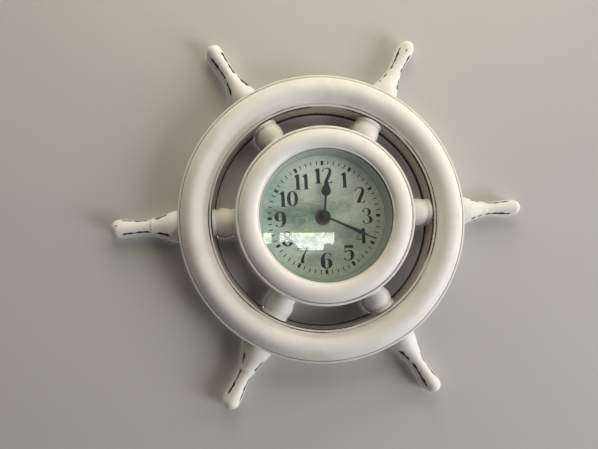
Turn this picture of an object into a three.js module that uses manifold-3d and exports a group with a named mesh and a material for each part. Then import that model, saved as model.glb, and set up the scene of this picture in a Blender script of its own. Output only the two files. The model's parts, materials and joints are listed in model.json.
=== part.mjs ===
// Ship wheel clock: a six-handled wheel with a deep-set dial in its hub.
//
// Lengths are millimetres. +X is the viewer's right, +Z is up and the front faces -Y.
// The origin is the top of the rim's inner rear edge, from which the clock hangs.
// A "depth" is a distance forward of the flat rear plane, so a point lies at y = -depth.
// A "radius" is measured from the wheel's axis, which runs along Y.
// A "share" is a fraction of the size named beside it, and an angle is in degrees.

import * as THREE from 'three';
import { mergeVertices } from 'three/addons/utils/BufferGeometryUtils.js';
import Module from 'manifold-3d';

const wasm = await Module();
wasm.setup();

// Facets
const wheelSegments = 60;
const smallSegments = 20;
const screwSegments = 16;
const pinSegments = 12;
const pilotSegments = 8;
const domeSteps = 6;
const sectionSteps = 8;
const bladeSteps = 2;

// Fits, and how far a cutter reaches past what it cuts
const seam = 0.3;
const slipFit = 0.1;
const runFit = 0.2;
const overcut = 1;

// Wheel layout
const spokeCount = 6;
const firstSpokeAngle = 30;
const partingDepth = 9.6;

// Hub ring, the flat ring inside it that the bezel sits on, and the sleeve behind that seat
const hubRadius = 85;
const hubDraft = 1.2;
const hubFrontDepth = 35.5;
const hubLipWidth = 2.7;
const hubLipRise = 0.9;
const hubWall = 3;
const seatInset = 5.5;
const seatThickness = 3;
const sleeveWall = 3;

// Bezel, whose two edges stand forward of the hub ring's front edge
const bezelWidth = 18.6;
const bezelEdgeRise = 0.9;
const apertureRise = 2.7;
const bezelDomeRise = 4;
const bezelLipRise = 0.6;
const bezelSkirt = 2.6;
const bezelSkin = 3.2;

// Glass, spacer ring, dial and backing plate
const glassSeat = 2;
const glassThickness = 2;
const glassInset = 1.2;
const spacerFrontWall = 2.6;
const spacerRearWall = 5;
const dialFront = 16.6;
const dialThickness = 0.4;
const backingThickness = 1;
const backingMargin = 1.8;

// Backing plate screws
const screwCount = 4;
const screwInset = 4.7;
const screwShankRadius = 1.4;
const screwLength = 7;
const screwHeadRadius = 2.8;
const screwHeadHeight = 1.6;
const slotWidth = 0.8;
const slotDepth = 0.7;
const bossRadius = 3.6;

// Rim: an open-backed ring with a domed face between two pairs of fine lips
const spokeSpan = 18.6;
const rimWidth = 34.7;
const rimInnerDraft = 3.2;
const rimOuterDraft = 1.1;
const rimInnerDepth = 22.5;
const rimOuterDepth = 22.1;
const rimDomeRise = 6.6;
const rimStepRise = 2.2;
const rimWall = 3;
const innerLipWidth = 1.7;
const innerShelfWidth = 2.7;
const outerLipWidth = 2.8;
const outerShelfWidth = 1.7;
const lipRound = 0.7;
const grooveWidth = 0.5;
const grooveDepth = 0.8;
const stepRun = 0.8;
const domeEdgeAngle = 18;

// Beads between hub and rim
const beadRadius = 13.5;
const beadShift = 0.2;
const hubCollarLength = 3.2;
const hubCollarHalf = 12.4;
const rimCollarLength = 4.2;
const rimCollarHalf = 12.8;
const beadLedge = 1.001;
const beadSkirt = 1.045;

// Handles. Profile points are [share of the length, share of the foot's half width].
const handleLength = 61.7;
const handleFootHalf = 12.5;
const footProfile = [
  [0.0113, 1], [0.1005, 0.928], [0.1653, 0.832], [0.2382, 0.712], [0.3193, 0.608], [0.3841, 0.552],
];
const gripProfile = [[0.4165, 0.504], [0.4976, 0.468], [0.611, 0.488], [0.7407, 0.54], [0.8298, 0.576]];
const ringPlace = 0.3906;
const ringWidth = 1;
const ringHalf = 7.3;
const tipRound = 7.3;
const tipAngles = [0, 30, 55, 75];
const tipFlat = 0.06;
const handleLedge = 1.06;
const handleSkirt = 1.19;

// Movement case and cover
const caseWall = 1.2;
const caseDepth = 11.8;
const coverThickness = 1.6;
const batteryWall = 0.4;

// Battery and its contacts
const batteryRadius = 7.1;
const batteryBody = 49;
const batteryNub = 1.3;
const batteryNubRadius = 2.75;
const contactThickness = 0.4;
const contactSize = 9;
const contactGap = 0.95;

// Threaded bush, washer and nut
const bushRadius = 4;
const bushLength = 4.9;
const bushFlangeRadius = 6.4;
const bushFlangeThickness = 1;
const washerRadius = 7.9;
const washerThickness = 0.8;
const nutSides = 6;
const nutHalfFlats = 5;
const nutHeight = 2;

// Motion work: gear train from the minute arbor to the hour tube. Tooth heights are shares of the
// module, and tooth widths shares of the pitch on each side of a tooth's middle.
const toothModule = 0.5;
const toothTip = 0.8;
const toothRoot = 1.15;
const toothTipWidth = 0.1;
const toothRootWidth = 0.3;
const cannonTeeth = 10;
const minuteWheelTeeth = 30;
const minutePinionTeeth = 8;
const hourWheelTeeth = 32;
const wheelThickness = 1;
const layerGap = 0.3;
const cannonGap = 0.9;
const minuteWheelBearing = 30;
const studRadius = 0.8;
const hourTubeRadius = 2.5;
const arborRadius = 1.55;
const arborNeckRadius = 1.2;

// Hands. Blade points are [share of the length, share of the widest half width].
const hourHandTurn = 7.4;
const minuteHandTurn = 116.8;
const handThickness = 0.5;
const handGap = 1.6;
const hourBossRadius = 5.6;
const hourHandLength = 39;
const hourHandHalf = 4.5;
const hourBlade = [
  [0.0769, 0.2444], [0.2308, 0.2333], [0.359, 0.2222], [0.4436, 0.2111], [0.4846, 0.2222], [0.5077, 0.3778],
  [0.5282, 0.6444], [0.5615, 0.8778], [0.6128, 1], [0.6744, 0.9111], [0.7385, 0.6889], [0.8128, 0.4111],
  [0.8846, 0.2333], [0.9615, 0.1],
];
const minuteBossRadius = 3.6;
const minuteHandLength = 54.2;
const minuteHandHalf = 1.85;
const minuteBlade = [
  [0.0369, 0.5135], [0.1845, 0.5135], [0.369, 0.6054], [0.5535, 0.8108], [0.6827, 1], [0.7288, 0.8649],
  [0.7786, 0.5135], [0.8303, 0.3243], [0.9225, 0.2703], [0.9815, 0.189],
];

// Cap on the minute arbor. Its edge, shoulder and bore are shares of its height or radius.
const capRadius = 2.6;
const capHeight = 1.9;
const capEdge = 0.55;
const capShoulder = 0.88;
const capShoulderRadius = 0.75;
const capBore = 0.6;

// Setting knob
const knobRadius = 8;
const knobThickness = 1.2;
const knobStemRadius = 2.6;
const knobFlutes = 24;
const knobFluteDepth = 0.4;

// Stepping motor and electronics
const coreSpan = 10;
const rotorRadius = 2.8;
const rotorHeight = 3;
const rotorAxleRadius = 0.5;
const rotorPinionRadius = 1;
const rotorPinionHeight = 1;
const statorThickness = 0.8;
const statorStandoff = 4.6;
const statorLeg = 1.6;
const statorHeight = 22;
const statorClearance = 1.95;
const statorCoreWidth = 2;
const statorPlateWidth = 8;
const coilRadius = 4.4;
const coilClearance = 1.4;
const bobbinFlange = 0.8;
const bobbinRise = 0.5;
const postRadius = 1.2;
const boardWidth = 18;
const boardHeight = 10;
const boardThickness = 1;
const crystalRadius = 1.5;
const crystalLength = 6;

// Finishes
const finish = {
  paint: { color: 0xdcd9cc, roughness: 0.5, metalness: 0 },
  dial: { color: 0x93a794, roughness: 0.7, metalness: 0 },
  glass: { color: 0xdfe8e4, roughness: 0.05, metalness: 0, transparent: true, opacity: 0.3 },
  spacer: { color: 0xc3c8bd, roughness: 0.6, metalness: 0 },
  hand: { color: 0x23241f, roughness: 0.5, metalness: 0.2 },
  brown: { color: 0x4b3f3a, roughness: 0.5, metalness: 0.3 },
  brass: { color: 0xb08d4c, roughness: 0.35, metalness: 1 },
  darkNut: { color: 0x2b2724, roughness: 0.5, metalness: 0.4 },
  steel: { color: 0xa9abad, roughness: 0.35, metalness: 1 },
  board: { color: 0x2f5a3c, roughness: 0.6, metalness: 0 },
  black: { color: 0x1d1d1e, roughness: 0.55, metalness: 0 },
  white: { color: 0xdddcd6, roughness: 0.5, metalness: 0 },
  copper: { color: 0x9c5a34, roughness: 0.4, metalness: 0.8 },
  cell: { color: 0x3d5a52, roughness: 0.4, metalness: 0.3 },
};

// Sizes that follow from the ones above, from the hub outwards
const hubOuterFront = hubRadius - hubDraft;
const hubMouth = hubOuterFront - hubLipWidth;
const rimInnerRear = hubRadius + spokeSpan;
const rimInnerFront = rimInnerRear + rimInnerDraft;
const rimOuterRear = rimInnerRear + rimWidth;
const rimOuterFront = rimOuterRear - rimOuterDraft;
const handleTip = rimOuterRear + handleLength;
const beadInnerEnd = hubOuterFront + hubCollarLength;
const beadOuterEnd = rimInnerFront - rimCollarLength;
const beadCentre = (beadInnerEnd + beadOuterEnd) / 2 + beadShift;
const axisHeight = -rimInnerRear;

// Hub ring, bezel, glass and dial
const seatFront = hubFrontDepth - seatInset;
const seatRear = seatFront - seatThickness;
const bezelOuter = hubMouth - seam;
const bezelEdgeDepth = hubFrontDepth + bezelEdgeRise;
const apertureRadius = bezelOuter - bezelWidth;
const apertureDepth = hubFrontDepth + apertureRise;
const glassRadius = apertureRadius + glassSeat;
const glassFront = apertureDepth - glassInset;
const glassRear = glassFront - glassThickness;
const sleeveRadius = glassRadius + seam + runFit;
const screwCircle = sleeveRadius + sleeveWall + screwInset;
const backingRadius = screwCircle + screwHeadRadius + backingMargin;
const dialRear = dialFront - dialThickness;
const backingRear = dialRear - backingThickness;

// Movement
const caseRear = backingRear - caseDepth;
const caseFloor = backingRear - caseWall;
const coverRear = caseRear - coverThickness;
const knobRear = coverRear - seam - knobThickness;
const bayHalf = (batteryBody + batteryNub) / 2 + seam + contactThickness + contactGap;
const caseHalf = bayHalf + caseWall;
const batteryDepth = backingRear - batteryWall - seam / 2 - batteryRadius;
const batteryHeight = -bayHalf + seam / 2 + batteryRadius;
const batteryBayTop = batteryHeight + batteryRadius + seam;
const gearBayBottom = batteryBayTop + caseWall;
const statorFront = caseFloor - statorStandoff;
const statorCoreX = coilRadius + coilClearance - bayHalf;
const rotorX = statorCoreX + coreSpan;
const rotorZ = gearBayBottom + statorClearance + statorHeight / 2;

// Bush, motion work and hands
const bushBore = hourTubeRadius + runFit;
const bushFront = backingRear + bushLength;
const hourHandRear = bushFront + seam;
const minuteHandRear = hourHandRear + handThickness + handGap;
const hourWheelFront = caseFloor - bushFlangeThickness - layerGap;
const hourWheelRear = hourWheelFront - wheelThickness;
const cannonFront = hourWheelRear - cannonGap;
const cannonRear = cannonFront - wheelThickness - layerGap;
const axleDistance = toothModule * (cannonTeeth + minuteWheelTeeth) / 2;

const radians = THREE.MathUtils.degToRad;

// Turns any geometry into a closed index-only one whose faces point outwards.
function closed(geometry) {
  const bare = geometry.clone();
  bare.deleteAttribute('normal');
  bare.deleteAttribute('uv');
  const merged = mergeVertices(bare, 1e-4);
  const place = merged.getAttribute('position');
  const corners = [0, 1, 2].map(() => new THREE.Vector3());
  const kept = [];
  let volume = 0;
  for (let i = 0; i < merged.index.count; i += 3) {
    const ids = [0, 1, 2].map((k) => merged.index.getX(i + k));
    if (ids[0] === ids[1] || ids[1] === ids[2] || ids[2] === ids[0]) continue;
    ids.forEach((id, k) => corners[k].fromBufferAttribute(place, id));
    volume += corners[0].dot(corners[1].clone().cross(corners[2]));
    kept.push(ids);
  }
  const outward = volume > 0 ? kept : kept.map(([a, b, c]) => [a, c, b]);
  merged.setIndex(outward.flat());
  return merged;
}

function solid(geometry) {
  const shape = closed(geometry);
  return new wasm.Manifold(new wasm.Mesh({
    numProp: 3,
    vertProperties: new Float32Array(shape.getAttribute('position').array),
    triVerts: new Uint32Array(shape.index.array),
  }));
}

function geometryOf(manifold) {
  const mesh = manifold.getMesh();
  const geometry = new THREE.BufferGeometry();
  geometry.setAttribute('position', new THREE.BufferAttribute(new Float32Array(mesh.vertProperties), 3));
  geometry.setIndex([...mesh.triVerts]);
  return geometry;
}

function joined(...geometries) {
  return geometryOf(geometries.map(solid).reduce((a, b) => a.add(b)));
}

function cut(geometry, ...cutters) {
  return geometryOf(cutters.map(solid).reduce((a, b) => a.subtract(b), solid(geometry)));
}

// A ring or round body about the wheel's axis, from its outline as [radius, depth] pairs.
function turned(outline, segments = wheelSegments) {
  const points = outline.map(([radius, depth]) => new THREE.Vector2(radius, -depth));
  const onAxis = outline[0][0] === 0 && outline[outline.length - 1][0] === 0;
  if (!onAxis) points.push(points[0].clone());
  return closed(new THREE.LatheGeometry(points, segments));
}

function tube(outer, inner, rear, front, segments = smallSegments) {
  return turned([[inner, rear], [outer, rear], [outer, front], [inner, front]], segments);
}

function rod(radius, rear, front, segments = smallSegments) {
  return turned([[0, rear], [radius, rear], [radius, front], [0, front]], segments);
}

// A flat piece whose outline lies in the XZ plane, between two depths.
function plate(shape, rear, front, curveSegments = pinSegments) {
  const options = { depth: front - rear, bevelEnabled: false, curveSegments };
  const geometry = new THREE.ExtrudeGeometry(shape, options);
  return closed(geometry.rotateX(Math.PI / 2).translate(0, -rear, 0));
}

function block(x0, x1, rear, front, z0, z1) {
  const geometry = new THREE.BoxGeometry(x1 - x0, front - rear, z1 - z0);
  return closed(geometry.translate((x0 + x1) / 2, -(rear + front) / 2, (z0 + z1) / 2));
}

// Points of a low dome between two [radius, depth] ends, which are not repeated.
function dome([r0, d0], [r1, d1], rise) {
  const edgeAngle = radians(domeEdgeAngle);
  const points = [];
  for (let i = 1; i < domeSteps; i += 1) {
    const angle = edgeAngle + (Math.PI - 2 * edgeAngle) * i / domeSteps;
    const along = 0.5 - 0.5 * Math.cos(angle) / Math.cos(edgeAngle);
    const lift = (Math.sin(angle) - Math.sin(edgeAngle)) / (1 - Math.sin(edgeAngle));
    points.push([r0 + (r1 - r0) * along, d0 + (d1 - d0) * along + rise * lift]);
  }
  return points;
}

// Rim
function rimOutline() {
  const innerShelf = rimInnerFront + innerLipWidth + grooveWidth;
  const domeInner = innerShelf + innerShelfWidth;
  const innerTop = rimInnerDepth + lipRound;
  const outerShelf = rimOuterFront - outerLipWidth - grooveWidth;
  const domeOuter = outerShelf - outerShelfWidth;
  const outerTop = rimOuterDepth + lipRound;
  const domeStart = [domeInner, innerTop + rimStepRise];
  const domeEnd = [domeOuter, outerTop + rimStepRise];
  const crown = (domeInner + domeOuter) / 2;
  return [
    [rimInnerRear, 0],
    [rimInnerFront, rimInnerDepth],
    [rimInnerFront + lipRound, innerTop],
    [rimInnerFront + innerLipWidth, innerTop],
    [rimInnerFront + innerLipWidth + grooveWidth / 2, innerTop - grooveDepth],
    [innerShelf, innerTop],
    [domeInner - stepRun, innerTop + lipRound],
    domeStart,
    ...dome(domeStart, domeEnd, rimDomeRise),
    domeEnd,
    [domeOuter + stepRun, outerTop + lipRound],
    [outerShelf, outerTop],
    [rimOuterFront - outerLipWidth - grooveWidth / 2, outerTop - grooveDepth],
    [rimOuterFront - outerLipWidth, outerTop],
    [rimOuterFront - lipRound, outerTop],
    [rimOuterFront, rimOuterDepth],
    [rimOuterRear, 0],
    [rimOuterRear - rimWall, 0],
    [rimOuterFront - rimWall, rimOuterDepth - rimWall],
    [domeOuter - rimWall, outerTop],
    [crown, outerTop + rimStepRise + rimDomeRise - rimWall],
    [domeInner + rimWall, innerTop],
    [rimInnerFront + rimWall, rimInnerDepth - rimWall],
    [rimInnerRear + rimWall, 0],
  ];
}

// Everything outside the rim's inner wall, or inside its outer wall, with the seam gap.
function rimInnerCutter() {
  const slope = (rimInnerFront - rimInnerRear) / rimInnerDepth;
  const deep = rimInnerDepth + rimStepRise;
  return turned([
    [rimInnerRear - seam - slope * overcut, -overcut], [rimOuterRear, -overcut],
    [rimOuterRear, deep], [rimInnerRear - seam + slope * deep, deep],
  ]);
}

function rimOuterCutter() {
  const slope = (rimOuterFront - rimOuterRear) / rimOuterDepth;
  const deep = rimOuterDepth + rimStepRise;
  return turned([
    [0, -overcut], [rimOuterRear + seam - slope * overcut, -overcut],
    [rimOuterRear + seam + slope * deep, deep], [0, deep],
  ]);
}

function hubCutter() {
  const slope = (hubOuterFront - hubRadius) / hubFrontDepth;
  return turned([
    [0, -overcut], [hubRadius + seam - slope * overcut, -overcut],
    [hubOuterFront + seam, hubFrontDepth], [0, hubFrontDepth],
  ]);
}

// One section of a bead or handle: a half-round front on a skirt that reaches the rear plane.
function section(place, half, ledge, skirt) {
  const points = [];
  for (let i = 0; i <= sectionSteps; i += 1) {
    const angle = Math.PI * (i / sectionSteps - 0.5);
    points.push([half * Math.sin(angle), partingDepth + half * Math.cos(angle)]);
  }
  points.push([half * ledge, partingDepth - (ledge - 1) * half]);
  points.push([half * skirt, 0]);
  points.push([-half * skirt, 0]);
  points.push([-half * ledge, partingDepth - (ledge - 1) * half]);
  return points.map(([x, depth]) => new THREE.Vector3(x, -depth, place));
}

// A closed skin through sections that all have the same number of points.
function loft(sections) {
  const count = sections[0].length;
  const positions = sections.flat().flatMap((point) => point.toArray());
  const index = [];
  for (let s = 0; s < sections.length - 1; s += 1) {
    for (let i = 0; i < count; i += 1) {
      const a = s * count + i;
      const b = s * count + (i + 1) % count;
      index.push(a, b, b + count, a, b + count, a + count);
    }
  }
  for (const first of [0, (sections.length - 1) * count]) {
    const outline = sections[first / count].map((point) => new THREE.Vector2(point.x, point.y));
    const turn = first === 0 ? [0, 2, 1] : [0, 1, 2];
    for (const face of THREE.ShapeUtils.triangulateShape(outline, [])) {
      index.push(...turn.map((k) => first + face[k]));
    }
  }
  const geometry = new THREE.BufferGeometry();
  geometry.setAttribute('position', new THREE.Float32BufferAttribute(positions, 3));
  geometry.setIndex(index);
  return closed(geometry);
}

function handleGeometry() {
  const station = ([along, width]) => [rimOuterRear + along * handleLength, width * handleFootHalf];
  const ring = rimOuterRear + ringPlace * handleLength;
  const tipCentre = handleTip - tipRound;
  const stations = [
    [rimOuterFront - rimWall, handleFootHalf],
    ...footProfile.map(station),
    [ring, ringHalf],
    [ring + ringWidth, ringHalf],
    ...gripProfile.map(station),
    ...tipAngles.map(radians).map((angle) => (
      [tipCentre + tipRound * Math.sin(angle), tipRound * Math.cos(angle)]
    )),
    [handleTip, tipRound * tipFlat],
  ];
  const body = loft(stations.map(([place, half]) => section(place, half, handleLedge, handleSkirt)));
  return cut(body, rimOuterCutter());
}

function beadGeometry() {
  const stations = [[hubOuterFront - hubWall, hubCollarHalf], [beadInnerEnd, hubCollarHalf]];
  const innerOffset = beadInnerEnd + lipRound / 2 - beadCentre;
  const outerOffset = beadOuterEnd - lipRound / 2 - beadCentre;
  const start = Math.asin(innerOffset / beadRadius);
  const end = Math.asin(outerOffset / beadRadius);
  for (let i = 0; i <= domeSteps; i += 1) {
    const angle = start + (end - start) * i / domeSteps;
    stations.push([beadCentre + beadRadius * Math.sin(angle), beadRadius * Math.cos(angle)]);
  }
  stations.push([beadOuterEnd, rimCollarHalf], [rimInnerFront + rimWall, rimCollarHalf]);
  const body = loft(stations.map(([place, half]) => section(place, half, beadLedge, beadSkirt)));
  return cut(body, hubCutter(), rimInnerCutter());
}

function aroundAxis(count, radius) {
  return Array.from({ length: count }, (unused, i) => {
    const angle = 2 * Math.PI * (i + 0.5) / count;
    return [radius * Math.sin(angle), radius * Math.cos(angle)];
  });
}

function screwHoles(rear, front) {
  return aroundAxis(screwCount, screwCircle).map(([x, z]) => (
    rod(screwShankRadius + runFit, rear, front, pilotSegments).translate(x, 0, z)
  ));
}

// Hub
function hubGeometry() {
  return turned([
    [hubRadius - hubWall, 0],
    [hubRadius, 0],
    [hubOuterFront, hubFrontDepth],
    [hubOuterFront - lipRound, hubFrontDepth + hubLipRise],
    [hubMouth + lipRound, hubFrontDepth + hubLipRise],
    [hubMouth, hubFrontDepth],
    [hubMouth, seatRear],
  ]);
}

// The bezel's seat carries the bosses that take the backing plate's screws.
function seatGeometry() {
  const ring = tube(bezelOuter, sleeveRadius, seatRear, seatFront, wheelSegments);
  const bosses = aroundAxis(screwCount, screwCircle).map(([x, z]) => (
    rod(bossRadius, dialRear, (seatFront + seatRear) / 2).translate(x, 0, z)
  ));
  return cut(joined(ring, ...bosses), ...screwHoles(dialRear - overcut, dialRear + screwLength));
}

function sleeveGeometry() {
  return tube(sleeveRadius + sleeveWall, sleeveRadius, dialRear, seatRear, wheelSegments);
}

function bezelGeometry() {
  const pocket = glassRadius + seam;
  const lipTop = apertureDepth + bezelLipRise;
  const domeStart = [apertureRadius + 2 * lipRound, lipTop - bezelLipRise / 2];
  const domeEnd = [bezelOuter - lipRound / 2, bezelEdgeDepth + lipRound];
  return turned([
    [apertureRadius, glassFront],
    [apertureRadius, apertureDepth],
    [apertureRadius + lipRound, lipTop],
    domeStart,
    ...dome(domeStart, domeEnd, bezelDomeRise),
    domeEnd,
    [bezelOuter, bezelEdgeDepth],
    [bezelOuter, seatFront],
    [bezelOuter - bezelSkirt, seatFront],
    [bezelOuter - bezelSkirt, bezelEdgeDepth - bezelSkin],
    [pocket + bezelSkirt, apertureDepth - bezelSkin],
    [pocket + bezelSkirt, seatFront],
    [pocket, seatFront],
    [pocket, glassFront],
  ]);
}

function spacerGeometry() {
  return turned([
    [glassRadius - spacerRearWall, dialFront], [glassRadius, dialFront],
    [glassRadius, glassRear], [glassRadius - spacerFrontWall, glassRear],
  ]);
}

function backingGeometry() {
  const disc = tube(backingRadius, bushRadius + slipFit, backingRear, dialRear, wheelSegments);
  return cut(disc, ...screwHoles(backingRear - overcut, dialRear + overcut));
}

function screwGeometry() {
  const head = backingRear - screwHeadHeight;
  const half = slotWidth / 2;
  const body = turned([
    [0, head], [screwHeadRadius, head + lipRound], [screwHeadRadius, backingRear],
    [screwShankRadius, backingRear], [screwShankRadius, backingRear + screwLength - lipRound],
    [0, backingRear + screwLength],
  ], screwSegments);
  const slot = block(-screwHeadRadius, screwHeadRadius, head - overcut, head + slotDepth, -half, half);
  return cut(body, slot);
}

// Gears: straight-flanked teeth, one of them centred on the given angle.
function gearShape(teeth, toothAngle) {
  const pitchRadius = toothModule * teeth / 2;
  const tip = pitchRadius + toothTip * toothModule;
  const root = pitchRadius - toothRoot * toothModule;
  const pitch = 2 * Math.PI / teeth;
  const corners = [
    [root, -toothRootWidth], [tip, -toothTipWidth], [tip, toothTipWidth], [root, toothRootWidth],
  ];
  const points = [];
  for (let i = 0; i < teeth; i += 1) {
    for (const [radius, share] of corners) {
      const angle = toothAngle + pitch * (i + share);
      points.push(new THREE.Vector2(radius * Math.cos(angle), radius * Math.sin(angle)));
    }
  }
  return new THREE.Shape(points);
}

function minuteWheelPlace() {
  const angle = radians(90 - minuteWheelBearing);
  return { angle, x: axleDistance * Math.cos(angle), z: axleDistance * Math.sin(angle) };
}

function minuteArborGeometry() {
  const { angle } = minuteWheelPlace();
  const rear = knobRear + knobThickness / 2;
  const front = minuteHandRear + handThickness + capHeight / 2;
  const shaft = turned([
    [0, rear], [arborRadius, rear], [arborRadius, minuteHandRear],
    [arborNeckRadius, minuteHandRear], [arborNeckRadius, front], [0, front],
  ], smallSegments);
  return joined(shaft, plate(gearShape(cannonTeeth, angle), cannonRear, cannonFront));
}

function minuteWheelGeometry() {
  const { angle } = minuteWheelPlace();
  const meshAngle = angle + Math.PI;
  const wheel = gearShape(minuteWheelTeeth, meshAngle + Math.PI / minuteWheelTeeth);
  const pinion = gearShape(minutePinionTeeth, meshAngle + Math.PI / minutePinionTeeth);
  const rear = cannonRear + layerGap / 2;
  const body = joined(
    plate(wheel, rear, rear + wheelThickness),
    plate(pinion, rear + layerGap / 2, hourWheelFront),
  );
  return cut(body, rod(studRadius + slipFit, caseRear, caseFloor, pinSegments));
}

function hourWheelGeometry() {
  const { angle } = minuteWheelPlace();
  const tubeFront = hourHandRear + 2 * handThickness;
  const body = joined(
    plate(gearShape(hourWheelTeeth, angle), hourWheelRear, hourWheelFront),
    rod(hourTubeRadius, hourWheelRear, tubeFront),
  );
  return cut(body, rod(arborRadius + runFit, hourWheelRear - overcut, tubeFront + overcut));
}

function bushGeometry() {
  return turned([
    [bushBore, caseFloor - bushFlangeThickness],
    [bushFlangeRadius, caseFloor - bushFlangeThickness],
    [bushFlangeRadius, caseFloor],
    [bushRadius, caseFloor],
    [bushRadius, bushFront],
    [bushBore, bushFront],
  ], smallSegments);
}

function washerGeometry() {
  return tube(washerRadius, bushRadius + slipFit, dialFront, dialFront + washerThickness);
}

function nutGeometry() {
  const corner = nutHalfFlats / Math.cos(Math.PI / nutSides);
  const points = Array.from({ length: nutSides }, (unused, i) => {
    const angle = 2 * Math.PI * i / nutSides;
    return new THREE.Vector2(corner * Math.cos(angle), corner * Math.sin(angle));
  });
  const hex = new THREE.Shape(points);
  const hole = new THREE.Path();
  hole.absarc(0, 0, bushRadius + slipFit, 0, 2 * Math.PI);
  hex.holes.push(hole);
  const rear = dialFront + washerThickness;
  return plate(hex, rear, rear + nutHeight);
}

// Hands, drawn pointing up
function bladeShape(profile, length, widest) {
  const side = profile.map(([along, width]) => new THREE.Vector2(width * widest, along * length));
  const mirrored = side.map((point) => new THREE.Vector2(-point.x, point.y)).reverse();
  const shape = new THREE.Shape();
  shape.moveTo(side[0].x, side[0].y);
  shape.splineThru(side.slice(1));
  shape.lineTo(0, length);
  shape.lineTo(mirrored[0].x, mirrored[0].y);
  shape.splineThru(mirrored.slice(1));
  return shape;
}

function handGeometry(blade, discRadius, boreRadius, rear) {
  const front = rear + handThickness;
  const body = joined(rod(discRadius, rear, front), plate(blade, rear, front, bladeSteps));
  return cut(body, rod(boreRadius, rear - overcut, front + overcut, screwSegments));
}

function hourHandGeometry() {
  const blade = bladeShape(hourBlade, hourHandLength, hourHandHalf);
  return handGeometry(blade, hourBossRadius, hourTubeRadius + slipFit, hourHandRear);
}

function minuteHandGeometry() {
  const blade = bladeShape(minuteBlade, minuteHandLength, minuteHandHalf);
  return handGeometry(blade, minuteBossRadius, arborNeckRadius + slipFit, minuteHandRear);
}

function capGeometry() {
  const rear = minuteHandRear + handThickness;
  const bore = arborNeckRadius + slipFit;
  return turned([
    [bore, rear + capHeight * capBore],
    [0, rear + capHeight * capBore],
    [0, rear + capHeight],
    [capRadius * capShoulderRadius, rear + capHeight * capShoulder],
    [capRadius, rear + capHeight * capEdge],
    [capRadius, rear],
    [bore, rear],
  ], smallSegments);
}

function knobGeometry() {
  const front = knobRear + knobThickness;
  const points = Array.from({ length: 2 * knobFlutes }, (unused, i) => {
    const angle = Math.PI * i / knobFlutes;
    const radius = knobRadius - (i % 2) * knobFluteDepth;
    return new THREE.Vector2(radius * Math.cos(angle), radius * Math.sin(angle));
  });
  const stemFront = caseRear + coverThickness;
  const body = joined(
    plate(new THREE.Shape(points), knobRear, front),
    rod(knobStemRadius, knobRear, stemFront),
  );
  const boreRear = knobRear + knobThickness / 2 - seam;
  return cut(body, rod(arborRadius + slipFit, boreRear, stemFront + overcut));
}

// Movement case: a gear bay above and an open battery bay below
function postPlaces() {
  const x = rotorX + statorPlateWidth / 4;
  const reach = statorHeight / 2 - statorLeg;
  return [[x, rotorZ + reach], [x, rotorZ - reach + postRadius]];
}

function caseGeometry() {
  const { x, z } = minuteWheelPlace();
  const open = caseRear - overcut;
  const batteryFloor = backingRear - batteryWall;
  const outside = block(-caseHalf, caseHalf, caseRear, backingRear, -caseHalf, caseHalf);
  const gearBay = block(-bayHalf, bayHalf, open, caseFloor, gearBayBottom, bayHalf);
  const batteryBay = block(-bayHalf, bayHalf, open, batteryFloor, -bayHalf, batteryBayTop);
  const bushHole = rod(bushRadius + slipFit, caseFloor - overcut, backingRear + overcut);
  const shell = cut(outside, gearBay, batteryBay, bushHole);
  const pinFoot = caseFloor + caseWall / 2;
  const stud = rod(studRadius, cannonRear - layerGap, pinFoot, pinSegments).translate(x, 0, z);
  const posts = postPlaces().map(([postX, postZ]) => (
    rod(postRadius, statorFront, pinFoot, pinSegments).translate(postX, 0, postZ)
  ));
  return joined(shell, stud, ...posts);
}

function coverGeometry() {
  const slab = block(-caseHalf, caseHalf, coverRear, caseRear, gearBayBottom - caseWall, caseHalf);
  return cut(slab, rod(knobStemRadius + runFit, coverRear - overcut, caseRear + overcut));
}

// Stepping motor
function statorGeometry() {
  const left = statorCoreX - statorCoreWidth / 2;
  const right = rotorX + statorPlateWidth / 2;
  const low = rotorZ - statorHeight / 2;
  const high = rotorZ + statorHeight / 2;
  const rear = statorFront - statorThickness;
  const window = block(
    left + statorCoreWidth, rotorX - statorPlateWidth / 2, rear - overcut, statorFront + overcut,
    low + statorLeg, high - statorLeg,
  );
  const hole = rod(rotorRadius + seam, rear - overcut, statorFront + overcut).translate(rotorX, 0, rotorZ);
  return cut(block(left, right, rear, statorFront, low, high), window, hole);
}

function coilGeometry() {
  const half = statorHeight / 2 - statorLeg - seam;
  const bore = Math.hypot(statorCoreWidth, statorThickness) / 2 + seam;
  const winding = coilRadius - bobbinRise;
  const points = [
    [bore, -half], [coilRadius, -half], [coilRadius, bobbinFlange - half],
    [winding, bobbinFlange - half], [winding, half - bobbinFlange],
    [coilRadius, half - bobbinFlange], [coilRadius, half], [bore, half],
  ];
  const depth = statorFront - statorThickness / 2;
  return turned(points, smallSegments).rotateX(Math.PI / 2).translate(statorCoreX, -depth, rotorZ);
}

function rotorGeometry() {
  const middle = statorFront - statorThickness / 2;
  const magnetRear = middle - rotorHeight / 2;
  const magnetFront = middle + rotorHeight / 2;
  const pinionFront = magnetFront + rotorPinionHeight;
  return turned([
    [0, caseRear + seam], [rotorAxleRadius, caseRear + seam],
    [rotorAxleRadius, magnetRear], [rotorRadius, magnetRear],
    [rotorRadius, magnetFront], [rotorPinionRadius, magnetFront],
    [rotorPinionRadius, pinionFront], [rotorAxleRadius, pinionFront],
    [rotorAxleRadius, caseFloor - seam], [0, caseFloor - seam],
  ], screwSegments);
}

// Electronics and battery
function boardGeometry() {
  const left = -bayHalf + seam;
  const top = bayHalf - seam;
  return block(left, left + boardWidth, caseFloor - boardThickness, caseFloor, top - boardHeight, top);
}

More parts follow.
